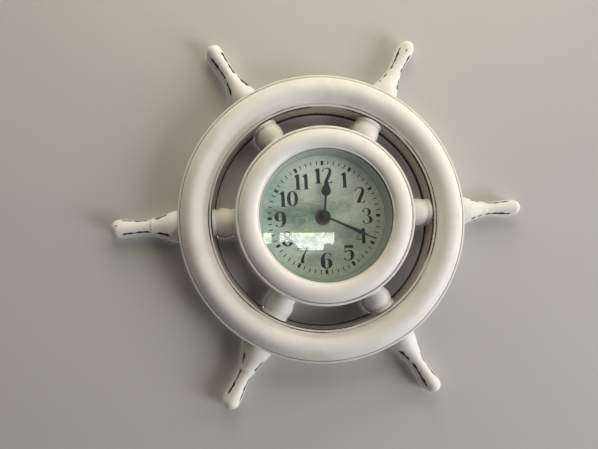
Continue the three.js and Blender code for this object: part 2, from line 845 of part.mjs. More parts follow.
function crystalGeometry() {
  const depth = caseFloor - boardThickness - seam - crystalRadius;
  const x = -bayHalf + boardWidth / 2;
  const z = bayHalf - boardHeight / 2;
  const can = rod(crystalRadius, -crystalLength / 2, crystalLength / 2, pinSegments);
  return can.rotateZ(Math.PI / 2).translate(x, -depth, z);
}

function batteryGeometry() {
  const half = (batteryBody + batteryNub) / 2;
  const shoulder = half - batteryNub;
  const body = turned([
    [0, -half], [batteryRadius - lipRound, -half], [batteryRadius, -half + lipRound],
    [batteryRadius, shoulder - lipRound], [batteryRadius - lipRound, shoulder],
    [batteryNubRadius, shoulder], [batteryNubRadius, half], [0, half],
  ], smallSegments);
  return body.rotateZ(Math.PI / 2).translate(0, -batteryDepth, batteryHeight);
}

function contactGeometry(side) {
  const x = side * ((batteryBody + batteryNub) / 2 + seam + contactThickness / 2);
  const half = contactThickness / 2;
  const reach = contactSize / 2;
  return block(
    x - half, x + half, batteryDepth - reach, batteryDepth + reach,
    batteryHeight - reach, batteryHeight + reach,
  );
}

// Assembly
function piece(name, geometry, look) {
  const mesh = new THREE.Mesh(closed(geometry), new THREE.MeshStandardMaterial(look));
  mesh.name = name;
  return mesh;
}

const group = new THREE.Group();
const clock = new THREE.Group();
clock.position.z = axisHeight;
group.add(clock);

clock.add(
  piece('wheel_rim', turned(rimOutline()), finish.paint),
  piece('hub_ring', hubGeometry(), finish.paint),
  piece('bezel_seat', seatGeometry(), finish.paint),
  piece('dial_sleeve', sleeveGeometry(), finish.paint),
  piece('bezel_ring', bezelGeometry(), finish.paint),
);

for (let i = 0; i < spokeCount; i += 1) {
  const spoke = new THREE.Group();
  spoke.rotation.y = radians(firstSpokeAngle + i * 360 / spokeCount);
  spoke.add(
    piece(`handle_${i + 1}`, handleGeometry(), finish.paint),
    piece(`spoke_bead_${i + 1}`, beadGeometry(), finish.paint),
  );
  clock.add(spoke);
}

clock.add(
  piece('glass_lens', rod(glassRadius, glassRear, glassFront, wheelSegments), finish.glass),
  piece('spacer_ring', spacerGeometry(), finish.spacer),
  piece('dial', tube(glassRadius, bushRadius + slipFit, dialRear, dialFront, wheelSegments), finish.dial),
  piece('backing_plate', backingGeometry(), finish.black),
);

aroundAxis(screwCount, screwCircle).forEach(([x, z], i) => {
  const screw = piece(`backing_screw_${i + 1}`, screwGeometry(), finish.steel);
  screw.position.set(x, 0, z);
  clock.add(screw);
});

clock.add(
  piece('movement_case', caseGeometry(), finish.black),
  piece('movement_cover', coverGeometry(), finish.black),
  piece('threaded_bush', bushGeometry(), finish.brass),
  piece('dial_washer', washerGeometry(), finish.brown),
  piece('dial_nut', nutGeometry(), finish.darkNut),
  piece('hour_wheel', hourWheelGeometry(), finish.white),
  piece('minute_arbor', minuteArborGeometry(), finish.steel),
  piece('setting_knob', knobGeometry(), finish.white),
  piece('minute_hand_cap', capGeometry(), finish.hand),
  piece('stator', statorGeometry(), finish.steel),
  piece('coil', coilGeometry(), finish.copper),
  piece('circuit_board', boardGeometry(), finish.board),
  piece('quartz_crystal', crystalGeometry(), finish.steel),
  piece('battery', batteryGeometry(), finish.cell),
  piece('battery_contact_positive', contactGeometry(-1), finish.steel),
  piece('battery_contact_negative', contactGeometry(1), finish.steel),
);

const minuteWheel = piece('minute_wheel', minuteWheelGeometry(), finish.white);
minuteWheel.position.set(minuteWheelPlace().x, 0, minuteWheelPlace().z);
const rotor = piece('rotor', rotorGeometry(), finish.steel);
rotor.position.set(rotorX, 0, rotorZ);
const hourHand = piece('hour_hand', hourHandGeometry(), finish.hand);
hourHand.rotation.y = radians(hourHandTurn);
const minuteHand = piece('minute_hand', minuteHandGeometry(), finish.hand);
minuteHand.rotation.y = radians(minuteHandTurn);
clock.add(minuteWheel, rotor, hourHand, minuteHand);

export default group;
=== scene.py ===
# %% [markdown]
# Ship wheel clock: a wall clock shaped as a ship's wheel.
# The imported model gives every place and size, so each piece below is made where the model has it.
# The round pieces are worked out again as smooth surfaces, and every piece gets its finish here.

# %% Load the model
import json
import math
import bmesh
import bpy
import numpy as np
from mathutils import Matrix, Vector

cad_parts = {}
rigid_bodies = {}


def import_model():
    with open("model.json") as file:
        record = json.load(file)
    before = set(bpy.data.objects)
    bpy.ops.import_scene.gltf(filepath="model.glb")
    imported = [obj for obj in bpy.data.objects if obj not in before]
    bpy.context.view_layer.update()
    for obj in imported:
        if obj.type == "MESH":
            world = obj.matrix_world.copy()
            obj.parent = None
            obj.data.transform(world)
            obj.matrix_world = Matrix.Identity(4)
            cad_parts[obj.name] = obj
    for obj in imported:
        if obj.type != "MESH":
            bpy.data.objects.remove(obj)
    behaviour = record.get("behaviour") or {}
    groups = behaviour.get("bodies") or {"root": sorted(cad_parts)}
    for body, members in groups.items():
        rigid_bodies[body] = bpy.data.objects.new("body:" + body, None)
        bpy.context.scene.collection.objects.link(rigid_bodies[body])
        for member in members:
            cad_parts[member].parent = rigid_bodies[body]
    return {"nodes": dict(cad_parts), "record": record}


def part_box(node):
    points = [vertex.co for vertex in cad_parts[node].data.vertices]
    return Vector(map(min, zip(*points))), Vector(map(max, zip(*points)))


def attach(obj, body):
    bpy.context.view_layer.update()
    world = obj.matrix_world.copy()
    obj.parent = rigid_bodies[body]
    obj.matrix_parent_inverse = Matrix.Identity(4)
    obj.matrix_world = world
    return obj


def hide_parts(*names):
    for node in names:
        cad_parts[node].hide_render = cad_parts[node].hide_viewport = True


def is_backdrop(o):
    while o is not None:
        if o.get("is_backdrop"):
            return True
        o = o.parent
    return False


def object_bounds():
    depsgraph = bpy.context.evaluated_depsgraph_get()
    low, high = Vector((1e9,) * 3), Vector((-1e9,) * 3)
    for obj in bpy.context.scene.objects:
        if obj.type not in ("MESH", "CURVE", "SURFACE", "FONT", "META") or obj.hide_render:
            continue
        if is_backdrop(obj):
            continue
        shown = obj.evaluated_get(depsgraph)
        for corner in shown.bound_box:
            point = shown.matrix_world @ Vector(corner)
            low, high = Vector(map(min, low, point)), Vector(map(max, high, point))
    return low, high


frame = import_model()
cad_box = [list(corner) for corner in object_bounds()]

# %% [markdown]
# Everything on this clock is placed from the wheel's axis: a radius from it, a bearing clockwise
# from the top, and a depth forward of the flat back. The model's own boxes say where the axis is.
# Working in millimetres keeps the numbers readable, and one function turns them to metres.

# %% Wheel coordinates
MM = 0.001
BODY = "clock_body"
rim_low, rim_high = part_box("wheel_rim")
AXIS_X = (rim_low.x + rim_high.x) / 2 / MM
AXIS_Z = (rim_low.z + rim_high.z) / 2 / MM
RIM_OUTER = (rim_high.z - rim_low.z) / 2 / MM
print("wheel axis at x %.2f z %.2f mm, rim radius %.2f mm" % (AXIS_X, AXIS_Z, RIM_OUTER))


def wheel(x, z, depth):
    """Places points in metres: x to the right and z up from the axis, depth towards the viewer, in mm."""
    x, z, depth = np.broadcast_arrays(x, z, depth)
    return np.stack([x + AXIS_X, -depth, z + AXIS_Z], axis=-1) * MM


def polar(radius, bearing, depth):
    """Places points by radius and bearing: x = r sin(bearing) and z = r cos(bearing)."""
    return wheel(radius * np.sin(bearing), radius * np.cos(bearing), depth)


# %% [markdown]
# Nearly every surface here is a sheet of points with rows and columns. One function joins
# neighbours into four-sided faces, closes the sheet where its ends meet, and merges the points
# that fall together at a pole. Two more numbers can be kept on each point: how far the paint is
# rubbed through there, and how much painted shade lies on it.

# %% Surfaces from grids
SHARP = math.radians(38)
SAME_POINT = 2e-7


def skin(name, grids, rub=None, painted_shade=None, body=BODY, closed_along=False, sharp=SHARP):
    """Makes one object of sheets of points (rows, columns, 3) in metres, each closed across its columns."""
    places, faces, start = [], [], 0
    for grid in grids:
        rows, columns = grid.shape[:2]
        index = np.arange(rows * columns).reshape(rows, columns) + start
        below = index if closed_along else index[:-1]
        above = np.roll(index, -1, axis=0) if closed_along else index[1:]
        quads = [below, np.roll(below, -1, axis=1), np.roll(above, -1, axis=1), above]
        faces.append(np.stack(quads, axis=-1).reshape(-1, 4))
        places.append(grid.reshape(-1, 3))
        start += rows * columns
    mesh = bpy.data.meshes.new(name)
    mesh.from_pydata(np.concatenate(places), [], np.concatenate(faces).tolist())
    for label, values in (("rub", rub), ("painted_shade", painted_shade)):
        if values is not None:
            layer = mesh.attributes.new(label, "FLOAT", "POINT")
            row = np.concatenate([part.reshape(-1) for part in values])
            layer.data.foreach_set("value", row.astype(np.float32))
    shape = bmesh.new()
    shape.from_mesh(mesh)
    bmesh.ops.remove_doubles(shape, verts=shape.verts, dist=SAME_POINT)
    bmesh.ops.recalc_face_normals(shape, faces=shape.faces)
    shape.to_mesh(mesh)
    shape.free()
    mesh.shade_smooth()
    mesh.set_sharp_from_angle(angle=sharp)
    piece = bpy.data.objects.new(name, mesh)
    bpy.context.scene.collection.objects.link(piece)
    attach(piece, body)
    print("%s: %d faces" % (name, len(mesh.polygons)))
    return piece


# %% [markdown]
# A turned piece is drawn as half its cut section: pairs of radius and depth. Real mouldings have
# no knife edges, so each corner is softened before the section is swept round the axis.

# %% Sections and turning
TURN_STEPS = 288
BLUNT = math.cos(math.radians(12))


def softened(outline, size, steps=4):
    """Rounds a closed outline: each corner becomes a curve that leaves its two sides 'size' mm away
    or at 0.45 of the side, where (1-t)^2 start + 2t(1-t) corner + t^2 end gives its points. Where the
    outline turns by less than 12 degrees, its point stays as it is."""
    corner = np.asarray(outline, float)
    sides = [np.roll(corner, 1, axis=0) - corner, np.roll(corner, -1, axis=0) - corner]
    lengths = [np.linalg.norm(side, axis=1, keepdims=True) for side in sides]
    units = [side / length for side, length in zip(sides, lengths)]
    ends = [corner + unit * np.minimum(size, 0.45 * length) for unit, length in zip(units, lengths)]
    sharp_turn = -(units[0] * units[1]).sum(axis=1) < BLUNT
    t = np.linspace(0, 1, steps)[None, :, None]
    curve = (1 - t) ** 2 * ends[0][:, None] + 2 * t * (1 - t) * corner[:, None] + t ** 2 * ends[1][:, None]
    curve[~sharp_turn, 0] = corner[~sharp_turn]
    kept = np.ones((len(corner), steps), bool)
    kept[~sharp_turn, 1:] = False
    return curve[kept]


def dome(start, end, rise, steps=28, edge=math.radians(18)):
    """Points of a low dome: the part of a sine arch between the edge angle and its mirror, stretched
    from start to end and lifted by 'rise' at its crown."""
    angle = np.linspace(edge, math.pi - edge, steps)[1:-1]
    along = 0.5 - 0.5 * np.cos(angle) / math.cos(edge)
    lift = (np.sin(angle) - math.sin(edge)) / (1 - math.sin(edge))
    ends = np.asarray(start)[None] + (np.asarray(end) - np.asarray(start))[None] * along[:, None]
    ends[:, 1] += rise * lift
    return ends.tolist()


def subdivided(outline, longest):
    """Puts evenly spaced points on a closed outline's sides, so that none is longer than 'longest' mm."""
    outline = np.asarray(outline, float)
    ahead = np.roll(outline, -1, axis=0)
    parts = np.maximum(1, np.ceil(np.linalg.norm(ahead - outline, axis=1) / longest)).astype(int)
    start = np.repeat(outline, parts, axis=0)
    run = np.repeat(ahead - outline, parts, axis=0)
    first = np.repeat(np.cumsum(parts) - parts, parts)
    share = (np.arange(parts.sum()) - first) / np.repeat(parts, parts)
    return start + run * share[:, None]


def turned(outline, steps=TURN_STEPS):
    """Sweeps a closed outline of [radius, depth] once round the wheel's axis."""
    outline = np.asarray(outline, float)
    bearing = np.linspace(0, 2 * math.pi, steps, endpoint=False)
    return polar(outline[:, 0][:, None], bearing[None, :], outline[:, 1][:, None])


# %% [markdown]
# The paint on the real clock is rubbed through where a hand with sandpaper catches it: in runs
# along lips and edges, with gaps between them. A line on a turned piece is worn by how near a
# point is to it, and by how strongly each bearing was rubbed.

# %% Where the paint is rubbed
def near(outline, radius, depth, width):
    """1 on a point of the section and falling to 0 at 'width' mm from it, as a cosine bell."""
    outline = np.asarray(outline, float)
    gap = np.hypot(outline[:, 0] - radius, outline[:, 1] - depth)
    return np.where(gap < width, 0.5 + 0.5 * np.cos(math.pi * gap / width), 0)


def runs(bearing, spans, base, fade=math.radians(5)):
    """How hard each bearing is rubbed: 'base', raised to a span's strength inside it, with soft ends."""
    turn = np.degrees(bearing) % 360
    level = np.full(turn.shape, float(base))
    for start, end, strength in spans:
        middle, half = (start + end) / 2, (end - start) / 2
        off = np.abs((turn - middle + 180) % 360 - 180) - half
        share = np.clip(1 - off / math.degrees(fade), 0, 1)
        level = np.maximum(level, base + (strength - base) * share)
    return level


def worn(section, bearing, lines):
    """How rubbed each point of a turned piece is. A line has the radius, depth and width of its bell
    in mm, the spans that were rubbed and the base between them; the strongest line counts."""
    rub = np.zeros((len(section), len(bearing)))
    for radius, depth, width, spans, base in lines:
        bell = near(section, radius, depth, width)[:, None]
        rub = np.maximum(rub, bell * runs(bearing, spans, base)[None, :])
    return rub


# %% [markdown]
# The rim is one moulding: a broad dome between two pairs of fine lips, open at the back. Its
# inner edge carries the clock on the wall. It could be a lathe modifier on a curve; the section
# swept as arrays is as short, and lets each point keep how worn it is.

# %% Rim section
RIM_INNER_GROOVE = (108.75, 22.4)
RIM_OUTER_GROOVE = (135.0, 21.9)
RIM_CROWN = 6.6
RIM_ROUNDING = 0.5
RIM_LONGEST_SIDE = 2.5
RIM_STEPS = 480
dome_start, dome_end = [111.7, 25.4], [132.9, 25.0]
rim_outline = [
    [103.6, 0], [106.8, 22.5], [107.5, 23.2], [108.5, 23.2], list(RIM_INNER_GROOVE), [109.0, 23.2],
    [110.9, 23.9], dome_start, *dome(dome_start, dome_end, RIM_CROWN), dome_end, [133.8, 23.8],
    [134.7, 23.0], list(RIM_OUTER_GROOVE), [135.3, 22.8], [136.6, 22.8], [137.2, 22.1], [138.3, 0],
    [135.3, 0], [134.2, 19.1], [129.2, 22.8], [121.95, 28.6], [114.7, 23.2], [109.8, 19.5], [106.6, 0],
]
rim_section = subdivided(softened(rim_outline, RIM_ROUNDING), RIM_LONGEST_SIDE)
rim_bearing = np.linspace(0, 2 * math.pi, RIM_STEPS, endpoint=False)
print("rim section: %d points" % len(rim_section))

# %% [markdown]
# Four lines of the rim are dark: both grooves, the edge of the inner lip, and the inner edge at
# the back. The first three are rubbed in spans, given as start and end bearing in degrees and a
# strength. The band at the back edge is partly bare base coat and partly painted shadow of the gap
# between rim and wall, which makes it wide. The inner wall, which faces the hub, gets painted shade
# in a brown colour, and so does the slope in front of it, mostly at the left.

# %% Rim wear
RECESS_SHADE = 0.75
RECESS_FRONT, RECESS_FADE, RECESS_RADIUS = 21.5, 2, 106.9
SLOPE_END, SLOPE_FADE, SLOPE_DEPTH = 121, 8, 22
SLOPE_SPANS, SLOPE_BASE, SLOPE_SOFTNESS = [(225, 320, 0.42)], 0.06, math.radians(25)
GROOVE_SPANS = [
    (16, 40, 0.9), (339, 346, 0.8), (52, 112, 1), (128, 150, 0.7), (184, 202, 0.85), (222, 232, 1),
    (262, 277, 1),
]
LIP_SPANS = [(330, 354, 0.95), (16, 58, 0.8), (60, 112, 1), (172, 218, 0.95), (262, 277, 0.95)]
OUTER_SPANS = [(60, 130, 0.75), (180, 325, 0.85)]
# The wide third line at the inner back edge is partly bare base coat and partly painted shadow of the gap to
# the wall.
rim_rub = worn(rim_section, rim_bearing, [
    (*RIM_INNER_GROOVE, 1.6, GROOVE_SPANS, 0.3), (106.5, 20.4, 2.9, LIP_SPANS, 0.36),
    (103.9, 1.5, 7.0, [], 1.0), (*RIM_OUTER_GROOVE, 1.1, OUTER_SPANS, 0.4),
])
rim_radius, rim_depth = rim_section.T
# Painted shade: the recess wall darkens towards the back, and the inner slope too, most at the left.
recess = np.clip((RECESS_FRONT - rim_depth) / RECESS_FADE, 0, 1) * (rim_radius < RECESS_RADIUS)
rim_shade = np.repeat(RECESS_SHADE * recess[:, None], RIM_STEPS, axis=1)
inner_slope = np.clip((SLOPE_END - rim_radius) / SLOPE_FADE, 0, 1) * (rim_depth > SLOPE_DEPTH)
slope_runs = runs(rim_bearing, SLOPE_SPANS, SLOPE_BASE, SLOPE_SOFTNESS)
rim_shade = np.maximum(rim_shade, inner_slope[:, None] * slope_runs[None, :])
rim = skin("rim_moulding", [turned(rim_section, RIM_STEPS)], [rim_rub], [rim_shade], closed_along=True)
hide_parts("wheel_rim")

# %% [markdown]
# The hub is an outer wall with a narrow lip, and a domed bezel that sits inside it with a fine
# seam round. The bezel's inner lip stands over the glass, and its cut face is left dark.

# %% Hub ring
HUB_ROUNDING = 0.35
SEAM_SPANS, SEAM_BASE = [(70, 170, 0.5), (200, 250, 0.4)], 0.2
HUB_SHADE_FRONT, HUB_SHADE_FADE, HUB_SHADE_RADIUS = 33, 4, 83
hub_outline = [[82, 0], [85, 0], [83.8, 35.5], [83.1, 36.4], [81.8, 36.4], [81.1, 35.5], [81.1, 27], [82, 26]]
hub_section = softened(hub_outline, HUB_ROUNDING)
hub_bearing = np.linspace(0, 2 * math.pi, TURN_STEPS, endpoint=False)
hub_rub = worn(hub_section, hub_bearing, [(81.1, 35.5, 0.9, SEAM_SPANS, SEAM_BASE)])
hub_radius, hub_depth = hub_section.T
# Painted shade: the hub's outer wall, which faces the rim across the recess, darkens towards the back.
outside = np.clip((HUB_SHADE_FRONT - hub_depth) / HUB_SHADE_FADE, 0, 1) * (hub_radius > HUB_SHADE_RADIUS)
hub_shade = np.repeat(RECESS_SHADE * outside[:, None], TURN_STEPS, axis=1)
hub = skin("hub_wall", [turned(hub_section)], [hub_rub], [hub_shade], closed_along=True)
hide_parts("hub_ring")

# %% [markdown]
# The bezel is turned like the rim. Its dome rises 4 mm between the inner lip and the seam, and
# two short walls reach back under it. Its cut edge is darkest from the right round to the foot.

# %% Bezel
BEZEL_CROWN = 4
BEZEL_ROUNDING = 0.3
EDGE_SPANS, EDGE_BASE = [(60, 215, 1.0)], 0.75
bezel_start, bezel_end = [63.6, 38.5], [80.45, 37.1]
bezel_outline = [
    [62.2, 37.05], [62.2, 38.2], [62.9, 38.8],
    bezel_start, *dome(bezel_start, bezel_end, BEZEL_CROWN), bezel_end,
    [80.8, 36.4], [80.8, 30], [78.2, 30], [78.2, 33.2], [67.1, 35], [67.1, 30], [64.5, 30], [64.5, 37.05],
]
bezel_section = softened(bezel_outline, BEZEL_ROUNDING)
bezel_rub = worn(bezel_section, hub_bearing, [
    (62.2, 37.4, 0.95, EDGE_SPANS, EDGE_BASE), (80.7, 36.6, 0.6, SEAM_SPANS, SEAM_BASE),
])
bezel = skin("bezel_dome", [turned(bezel_section)], [bezel_rub], closed_along=True)
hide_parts("bezel_ring")

# %% [markdown]
# Behind the glass a pale moulded ring makes the wall of the deep well. Its small foot holds the
# dial down, and catches light as a thin bright line round the dial.

# %% Spacer ring
DIAL_FRONT = 16.6
SPACER_ROUNDING = 0.25
spacer_outline = [[59.2, DIAL_FRONT], [64.2, DIAL_FRONT], [64.2, 35], [61.6, 35], [60.3, 18.2], [59.2, 17.9]]
spacer_section = softened(spacer_outline, SPACER_ROUNDING)
spacer = skin("spacer_wall", [turned(spacer_section)], closed_along=True)
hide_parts("spacer_ring")

# %% [markdown]
# Handles and beads have one kind of cross section: a half round in front, a small ledge where
# the two halves of the mould met, and a skirt that widens to the wall. The section is carried
# outwards along a spoke while its half width follows the turned outline of a wooden handle.

# %% Spoke section
PARTING = 9.6
FRONT_STEPS = 61
SKIRT_STEPS = 9
SPOKES = range(1, 7)


def spoke_bearing(number):
    """The first spoke stands 30 degrees from the top, and the others follow every 60 degrees."""
    return math.radians(30 + 60 * (number - 1))


def smooth_between(stations, at):
    """A cubic curve through stations [place, half width], whose slopes are those of the neighbours."""
    stations = np.asarray(stations, float)
    x, y = stations[:, 0], stations[:, 1]
    slope = np.gradient(y, x)
    k = np.clip(np.searchsorted(x, at) - 1, 0, len(x) - 2)
    step = x[k + 1] - x[k]
    t = (at - x[k]) / step
    first = (2 * t ** 3 - 3 * t ** 2 + 1) * y[k] + (t ** 3 - 2 * t ** 2 + t) * step * slope[k]
    return first + (3 * t ** 2 - 2 * t ** 3) * y[k + 1] + (t ** 3 - t ** 2) * step * slope[k + 1]


def spoke_section(half, ledge, skirt):
    """Section points for each half width: x = half sin(a), depth = parting + half cos(a) in front,
    then down the skirt, whose half width grows in a straight line from the ledge to the back."""
    half = np.asarray(half, float)[:, None]
    angle = np.linspace(-math.pi / 2, math.pi / 2, FRONT_STEPS)[None, :]
    front = np.stack([half * np.sin(angle), PARTING + half * np.cos(angle)], axis=-1)
    down = np.linspace(0, 1, SKIRT_STEPS)[None, :]
    top = PARTING - (ledge - 1) * half
    right = np.stack([half * (ledge + (skirt - ledge) * down), top * (1 - down)], axis=-1)
    left = right[:, ::-1] * np.array([-1.0, 1.0])
    return np.concatenate([front, right, left], axis=1)


def along_spoke(section, place, bearing):
    """Carries sections to a spoke: across it by x, outwards by place, forward by depth."""
    across, depth = section[..., 0], section[..., 1]
    x = place * math.sin(bearing) + across * math.cos(bearing)
    z = place * math.cos(bearing) - across * math.sin(bearing)
    return wheel(x, z, depth)


def capped(grid):
    """Closes both ends of a skin with a row drawn in to the middle of each end."""
    first, last = grid[:1], grid[-1:]
    ends = [np.repeat(end.mean(axis=1, keepdims=True), grid.shape[1], axis=1) for end in (first, last)]
    return np.concatenate([ends[0], grid, ends[1]])


# %% [markdown]
# A handle flares where it meets the rim, narrows to a fine raised ring, and swells again to a
# round end. Its half width is a smooth curve through a few stations, a bell on top of it makes
# the ring, and a quarter circle closes the tip.

# %% Handle shape
HANDLE_FOOT = 134.3
HANDLE_TIP = 200.0
TIP_ROUND = 7.3
TIP_START = HANDLE_TIP - TIP_ROUND
TIP_POINT = 0.02
RING_PLACE, RING_RISE, RING_WIDTH = 161.8, 0.4, 0.5
HANDLE_LEDGE, HANDLE_SKIRT = 1.06, 1.19
handle_stations = [
    [HANDLE_FOOT, 12.7], [139.0, 12.5], [144.5, 11.6], [148.5, 10.4], [153.0, 8.9], [157.5, 7.7],
    [160.8, 7.1], [162.6, 6.5], [168.5, 5.9], [176.0, 6.1], [184.0, 6.75], [189.5, 7.2],
    [TIP_START, TIP_ROUND],
]
handle_place = np.concatenate([
    np.linspace(HANDLE_FOOT, 160.7, 90), np.linspace(160.9, 162.7, 9), np.linspace(162.9, TIP_START, 100),
])
ring = np.exp(-((handle_place - RING_PLACE) / RING_WIDTH) ** 2)
handle_half = smooth_between(handle_stations, handle_place) + RING_RISE * ring
tip_angle = np.linspace(0, math.pi / 2, 22)[1:]
tip_half = TIP_ROUND * np.cos(tip_angle)
handle_place = np.concatenate([handle_place, TIP_START + TIP_ROUND * np.sin(tip_angle)])
handle_half = np.concatenate([handle_half, np.maximum(tip_half, TIP_POINT)])
handle_section = spoke_section(handle_half, HANDLE_LEDGE, HANDLE_SKIRT)
print("handle: %d rows of %d points" % handle_section.shape[:2])

# %% [markdown]
# Paint is worn off in dark strokes along both edges. Each handle wears differently, so its
# strokes are listed as side, start and end radius and strength; the side is left or right of the
# spoke for someone who looks outwards along it from the hub. Two waves of different length make
# each stroke thicker and thinner along its run. On one side of the sixth handle the strokes lie
# nearer to the front, and two handles have a scuff in front.

# %% Handle wear
STROKES = {
    1: [("left", 146, 149, 1), ("left", 151, 159, 0.7), ("left", 164, 189, 1),
        ("right", 147, 159, 1), ("right", 165, 187, 1)],
    2: [("left", 147, 157, 0.7), ("left", 162, 188, 0.8),
        ("right", 147, 152, 1), ("right", 154, 159, 0.8), ("right", 163, 188, 1)],
    3: [("left", 159, 189, 0.7), ("right", 147, 160, 1), ("right", 163.5, 190, 1)],
    4: [("left", 147, 159, 0.9), ("left", 165, 189, 1), ("right", 147, 157, 1), ("right", 162, 188, 1)],
    5: [("left", 145, 159, 0.8), ("left", 163, 189, 1), ("right", 147, 160, 1), ("right", 165, 189, 1)],
    6: [("left", 147, 160, 1), ("left", 164, 189, 1), ("right", 145, 160, 0.9), ("right", 163, 188, 1)],
}
EDGE_ANGLE = 66
RAISED_STROKES = {(6, "right"): 54}
STROKE_REACH, STROKE_EDGE = 11, 1.6
STROKE_FADE, STROKE_OVERRUN = 4, 0.3
SHORT_WAVE, LONG_WAVE, WAVE_SHARE = 0.61, 0.23, 0.5
SCUFFS = {1: (187.5, 0.05, 1.4), 5: (193.5, 0.2, 1.3)}
SCUFF_STRENGTH, SCUFF_EDGE = 0.75, 1.4
round_angle = np.degrees(np.arctan2(handle_section[..., 0], handle_section[..., 1] - PARTING))


def stroke_wear(number):
    """Each stroke is worn most at its angle round the handle, in degrees from the front, and fades away
    from it; along the handle it fades over 4 mm at both ends. The strongest stroke counts. Its reach
    round the handle follows the product of two sines of the place, which differ from run to run."""
    wear = np.zeros(handle_section.shape[:2])
    for run, (side, start, end, strength) in enumerate(STROKES[number]):
        sign = -1 if side == "left" else 1
        short = np.sin(SHORT_WAVE * handle_place + 2.3 * number + run)
        uneven = short * np.sin(LONG_WAVE * handle_place + 1.7 * run)
        reach = STROKE_REACH * (1 + WAVE_SHARE * uneven[:, None])
        angle = RAISED_STROKES.get((number, side), EDGE_ANGLE)
        closeness = np.clip(STROKE_EDGE - np.abs(sign * round_angle - angle) / reach, 0, 1)
        within = np.minimum(handle_place - start, end - handle_place)
        inside = np.clip(within / STROKE_FADE + STROKE_OVERRUN, 0, 1)
        wear = np.maximum(wear, closeness * inside[:, None] * strength)
    return wear


def scuff_wear(middle, share, size):
    """An oval spot on the front, half as wide as long: its middle lies at a place along the handle and
    at a share of the half width to the right, and it fades out at 1.4 times its size."""
    sideways = handle_section[..., 0] - share * handle_half[:, None]
    gap = np.hypot(handle_place[:, None] - middle, 2 * sideways)
    in_front = handle_section[..., 1] > PARTING
    return SCUFF_STRENGTH * np.clip(SCUFF_EDGE - gap / size, 0, 1) * in_front


for number in SPOKES:
    wear = stroke_wear(number)
    if number in SCUFFS:
        wear = np.maximum(wear, scuff_wear(*SCUFFS[number]))
    grid = along_spoke(handle_section, handle_place[:, None], spoke_bearing(number))
    wear = np.concatenate([wear[:1], wear, wear[-1:]])
    handle = skin("turned_handle_%d" % number, [capped(grid)], [wear])
    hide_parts("handle_%d" % number)

# %% [markdown]
# A bead is a ball between two flat collars, one on the hub and one on the rim. The ball runs into
# a neck at both ends: the larger of the two half widths counts, with its corner smoothed.

# %% Beads
BALL = 13.5
BALL_CENTRE = 95.0
NECK, NECK_BLEND = 11.3, 0.3
HUB_COLLAR = (87.0, 12.4)
RIM_COLLAR = (102.6, 12.8)
COLLAR_STEPS, COLLAR_GAP = 10, 0.35
BEAD_START, BEAD_END = 82.6, 105.4
BEAD_LEDGE, BEAD_SKIRT = 1.001, 1.045
ball_start = math.asin((HUB_COLLAR[0] + COLLAR_GAP - BALL_CENTRE) / BALL)
ball_end = math.asin((RIM_COLLAR[0] - COLLAR_GAP - BALL_CENTRE) / BALL)
ball_angle = np.linspace(ball_start, ball_end, 40)
bead_place = np.concatenate([
    np.linspace(BEAD_START, HUB_COLLAR[0], COLLAR_STEPS), BALL_CENTRE + BALL * np.sin(ball_angle),
    np.linspace(RIM_COLLAR[0], BEAD_END, COLLAR_STEPS),
])
ball_half = BALL * np.cos(ball_angle)
ball_half = 0.5 * (ball_half + NECK + np.sqrt((ball_half - NECK) ** 2 + NECK_BLEND))
hub_half, rim_half = [np.full(COLLAR_STEPS, collar[1]) for collar in (HUB_COLLAR, RIM_COLLAR)]
bead_half = np.concatenate([hub_half, ball_half, rim_half])
bead_section = spoke_section(bead_half, BEAD_LEDGE, BEAD_SKIRT)
for number in SPOKES:
    grid = along_spoke(bead_section, bead_place[:, None], spoke_bearing(number))
    bead = skin("ball_bead_%d" % number, [capped(grid)])
    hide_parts("spoke_bead_%d" % number)

# %% [markdown]
# The dial's figures and minute marks are printed. The figures are the kind with thick stems and
# hairlines, so each is drawn with a few pen strokes: a line through points, each with its own
# half width. A text object can't give this letterform, because Blender's own font is plain.

# %% Pen strokes
INK = 0.03
STROKE_STEPS = 12


def stroke(points, straight=False):
    """A flat bar of ink: the middle line runs through (x, z, half width) points, and the bar is that
    line moved to both sides by the half width, from the dial's face to the ink's thickness."""
    points = np.asarray(points, float)
    steps = 2 if straight else STROKE_STEPS * (len(points) - 1)
    at = np.linspace(0, len(points) - 1, steps)
    knots = np.arange(len(points), dtype=float)
    x, z, half = [
        np.interp(at, knots, points[:, k]) if straight or len(points) == 2
        else smooth_between(np.stack([knots, points[:, k]], axis=1), at)
        for k in range(3)
    ]
    run_x, run_z = np.gradient(x, at), np.gradient(z, at)
    length = np.hypot(run_x, run_z)
    side_x, side_z = -run_z / length * half, run_x / length * half
    columns = []
    for side, rise in [(-1, 0), (1, 0), (1, INK), (-1, INK)]:
        depth = np.full_like(x, DIAL_FRONT + rise)
        columns.append(np.stack([x + side * side_x, z + side * side_z, depth], axis=-1))
    return np.stack(columns, axis=1)


def dot(x, z, radius):
    """A round blob of ink, as a stroke whose half width is that of a circle."""
    angle = np.linspace(0.12, math.pi - 0.12, 7)
    return stroke([(x, z - radius * math.cos(a), radius * math.sin(a)) for a in angle])


# %% [markdown]
# Each figure is drawn about its own middle, in mm. The one has a stem with a flag and a foot, the
# four and the seven are mostly straight bars, and the rest are curves that swell at their sides
# and end in a hairline or a dot. The nine is the six turned over.

# %% Figures
def figure_one():
    """A thick stem, with a flag at its top left and a hairline foot."""
    return [
        stroke([(0.1, -7.5, 1.65), (0.1, 6.6, 1.65)], True),
        stroke([(-2.9, 4.6, 0.35), (-1.3, 5.9, 1.0), (0.3, 6.8, 0.9), (1.6, 7.5, 0.35)]),
        stroke([(-2.3, -7.35, 0.35), (2.5, -7.35, 0.35)], True),
    ]


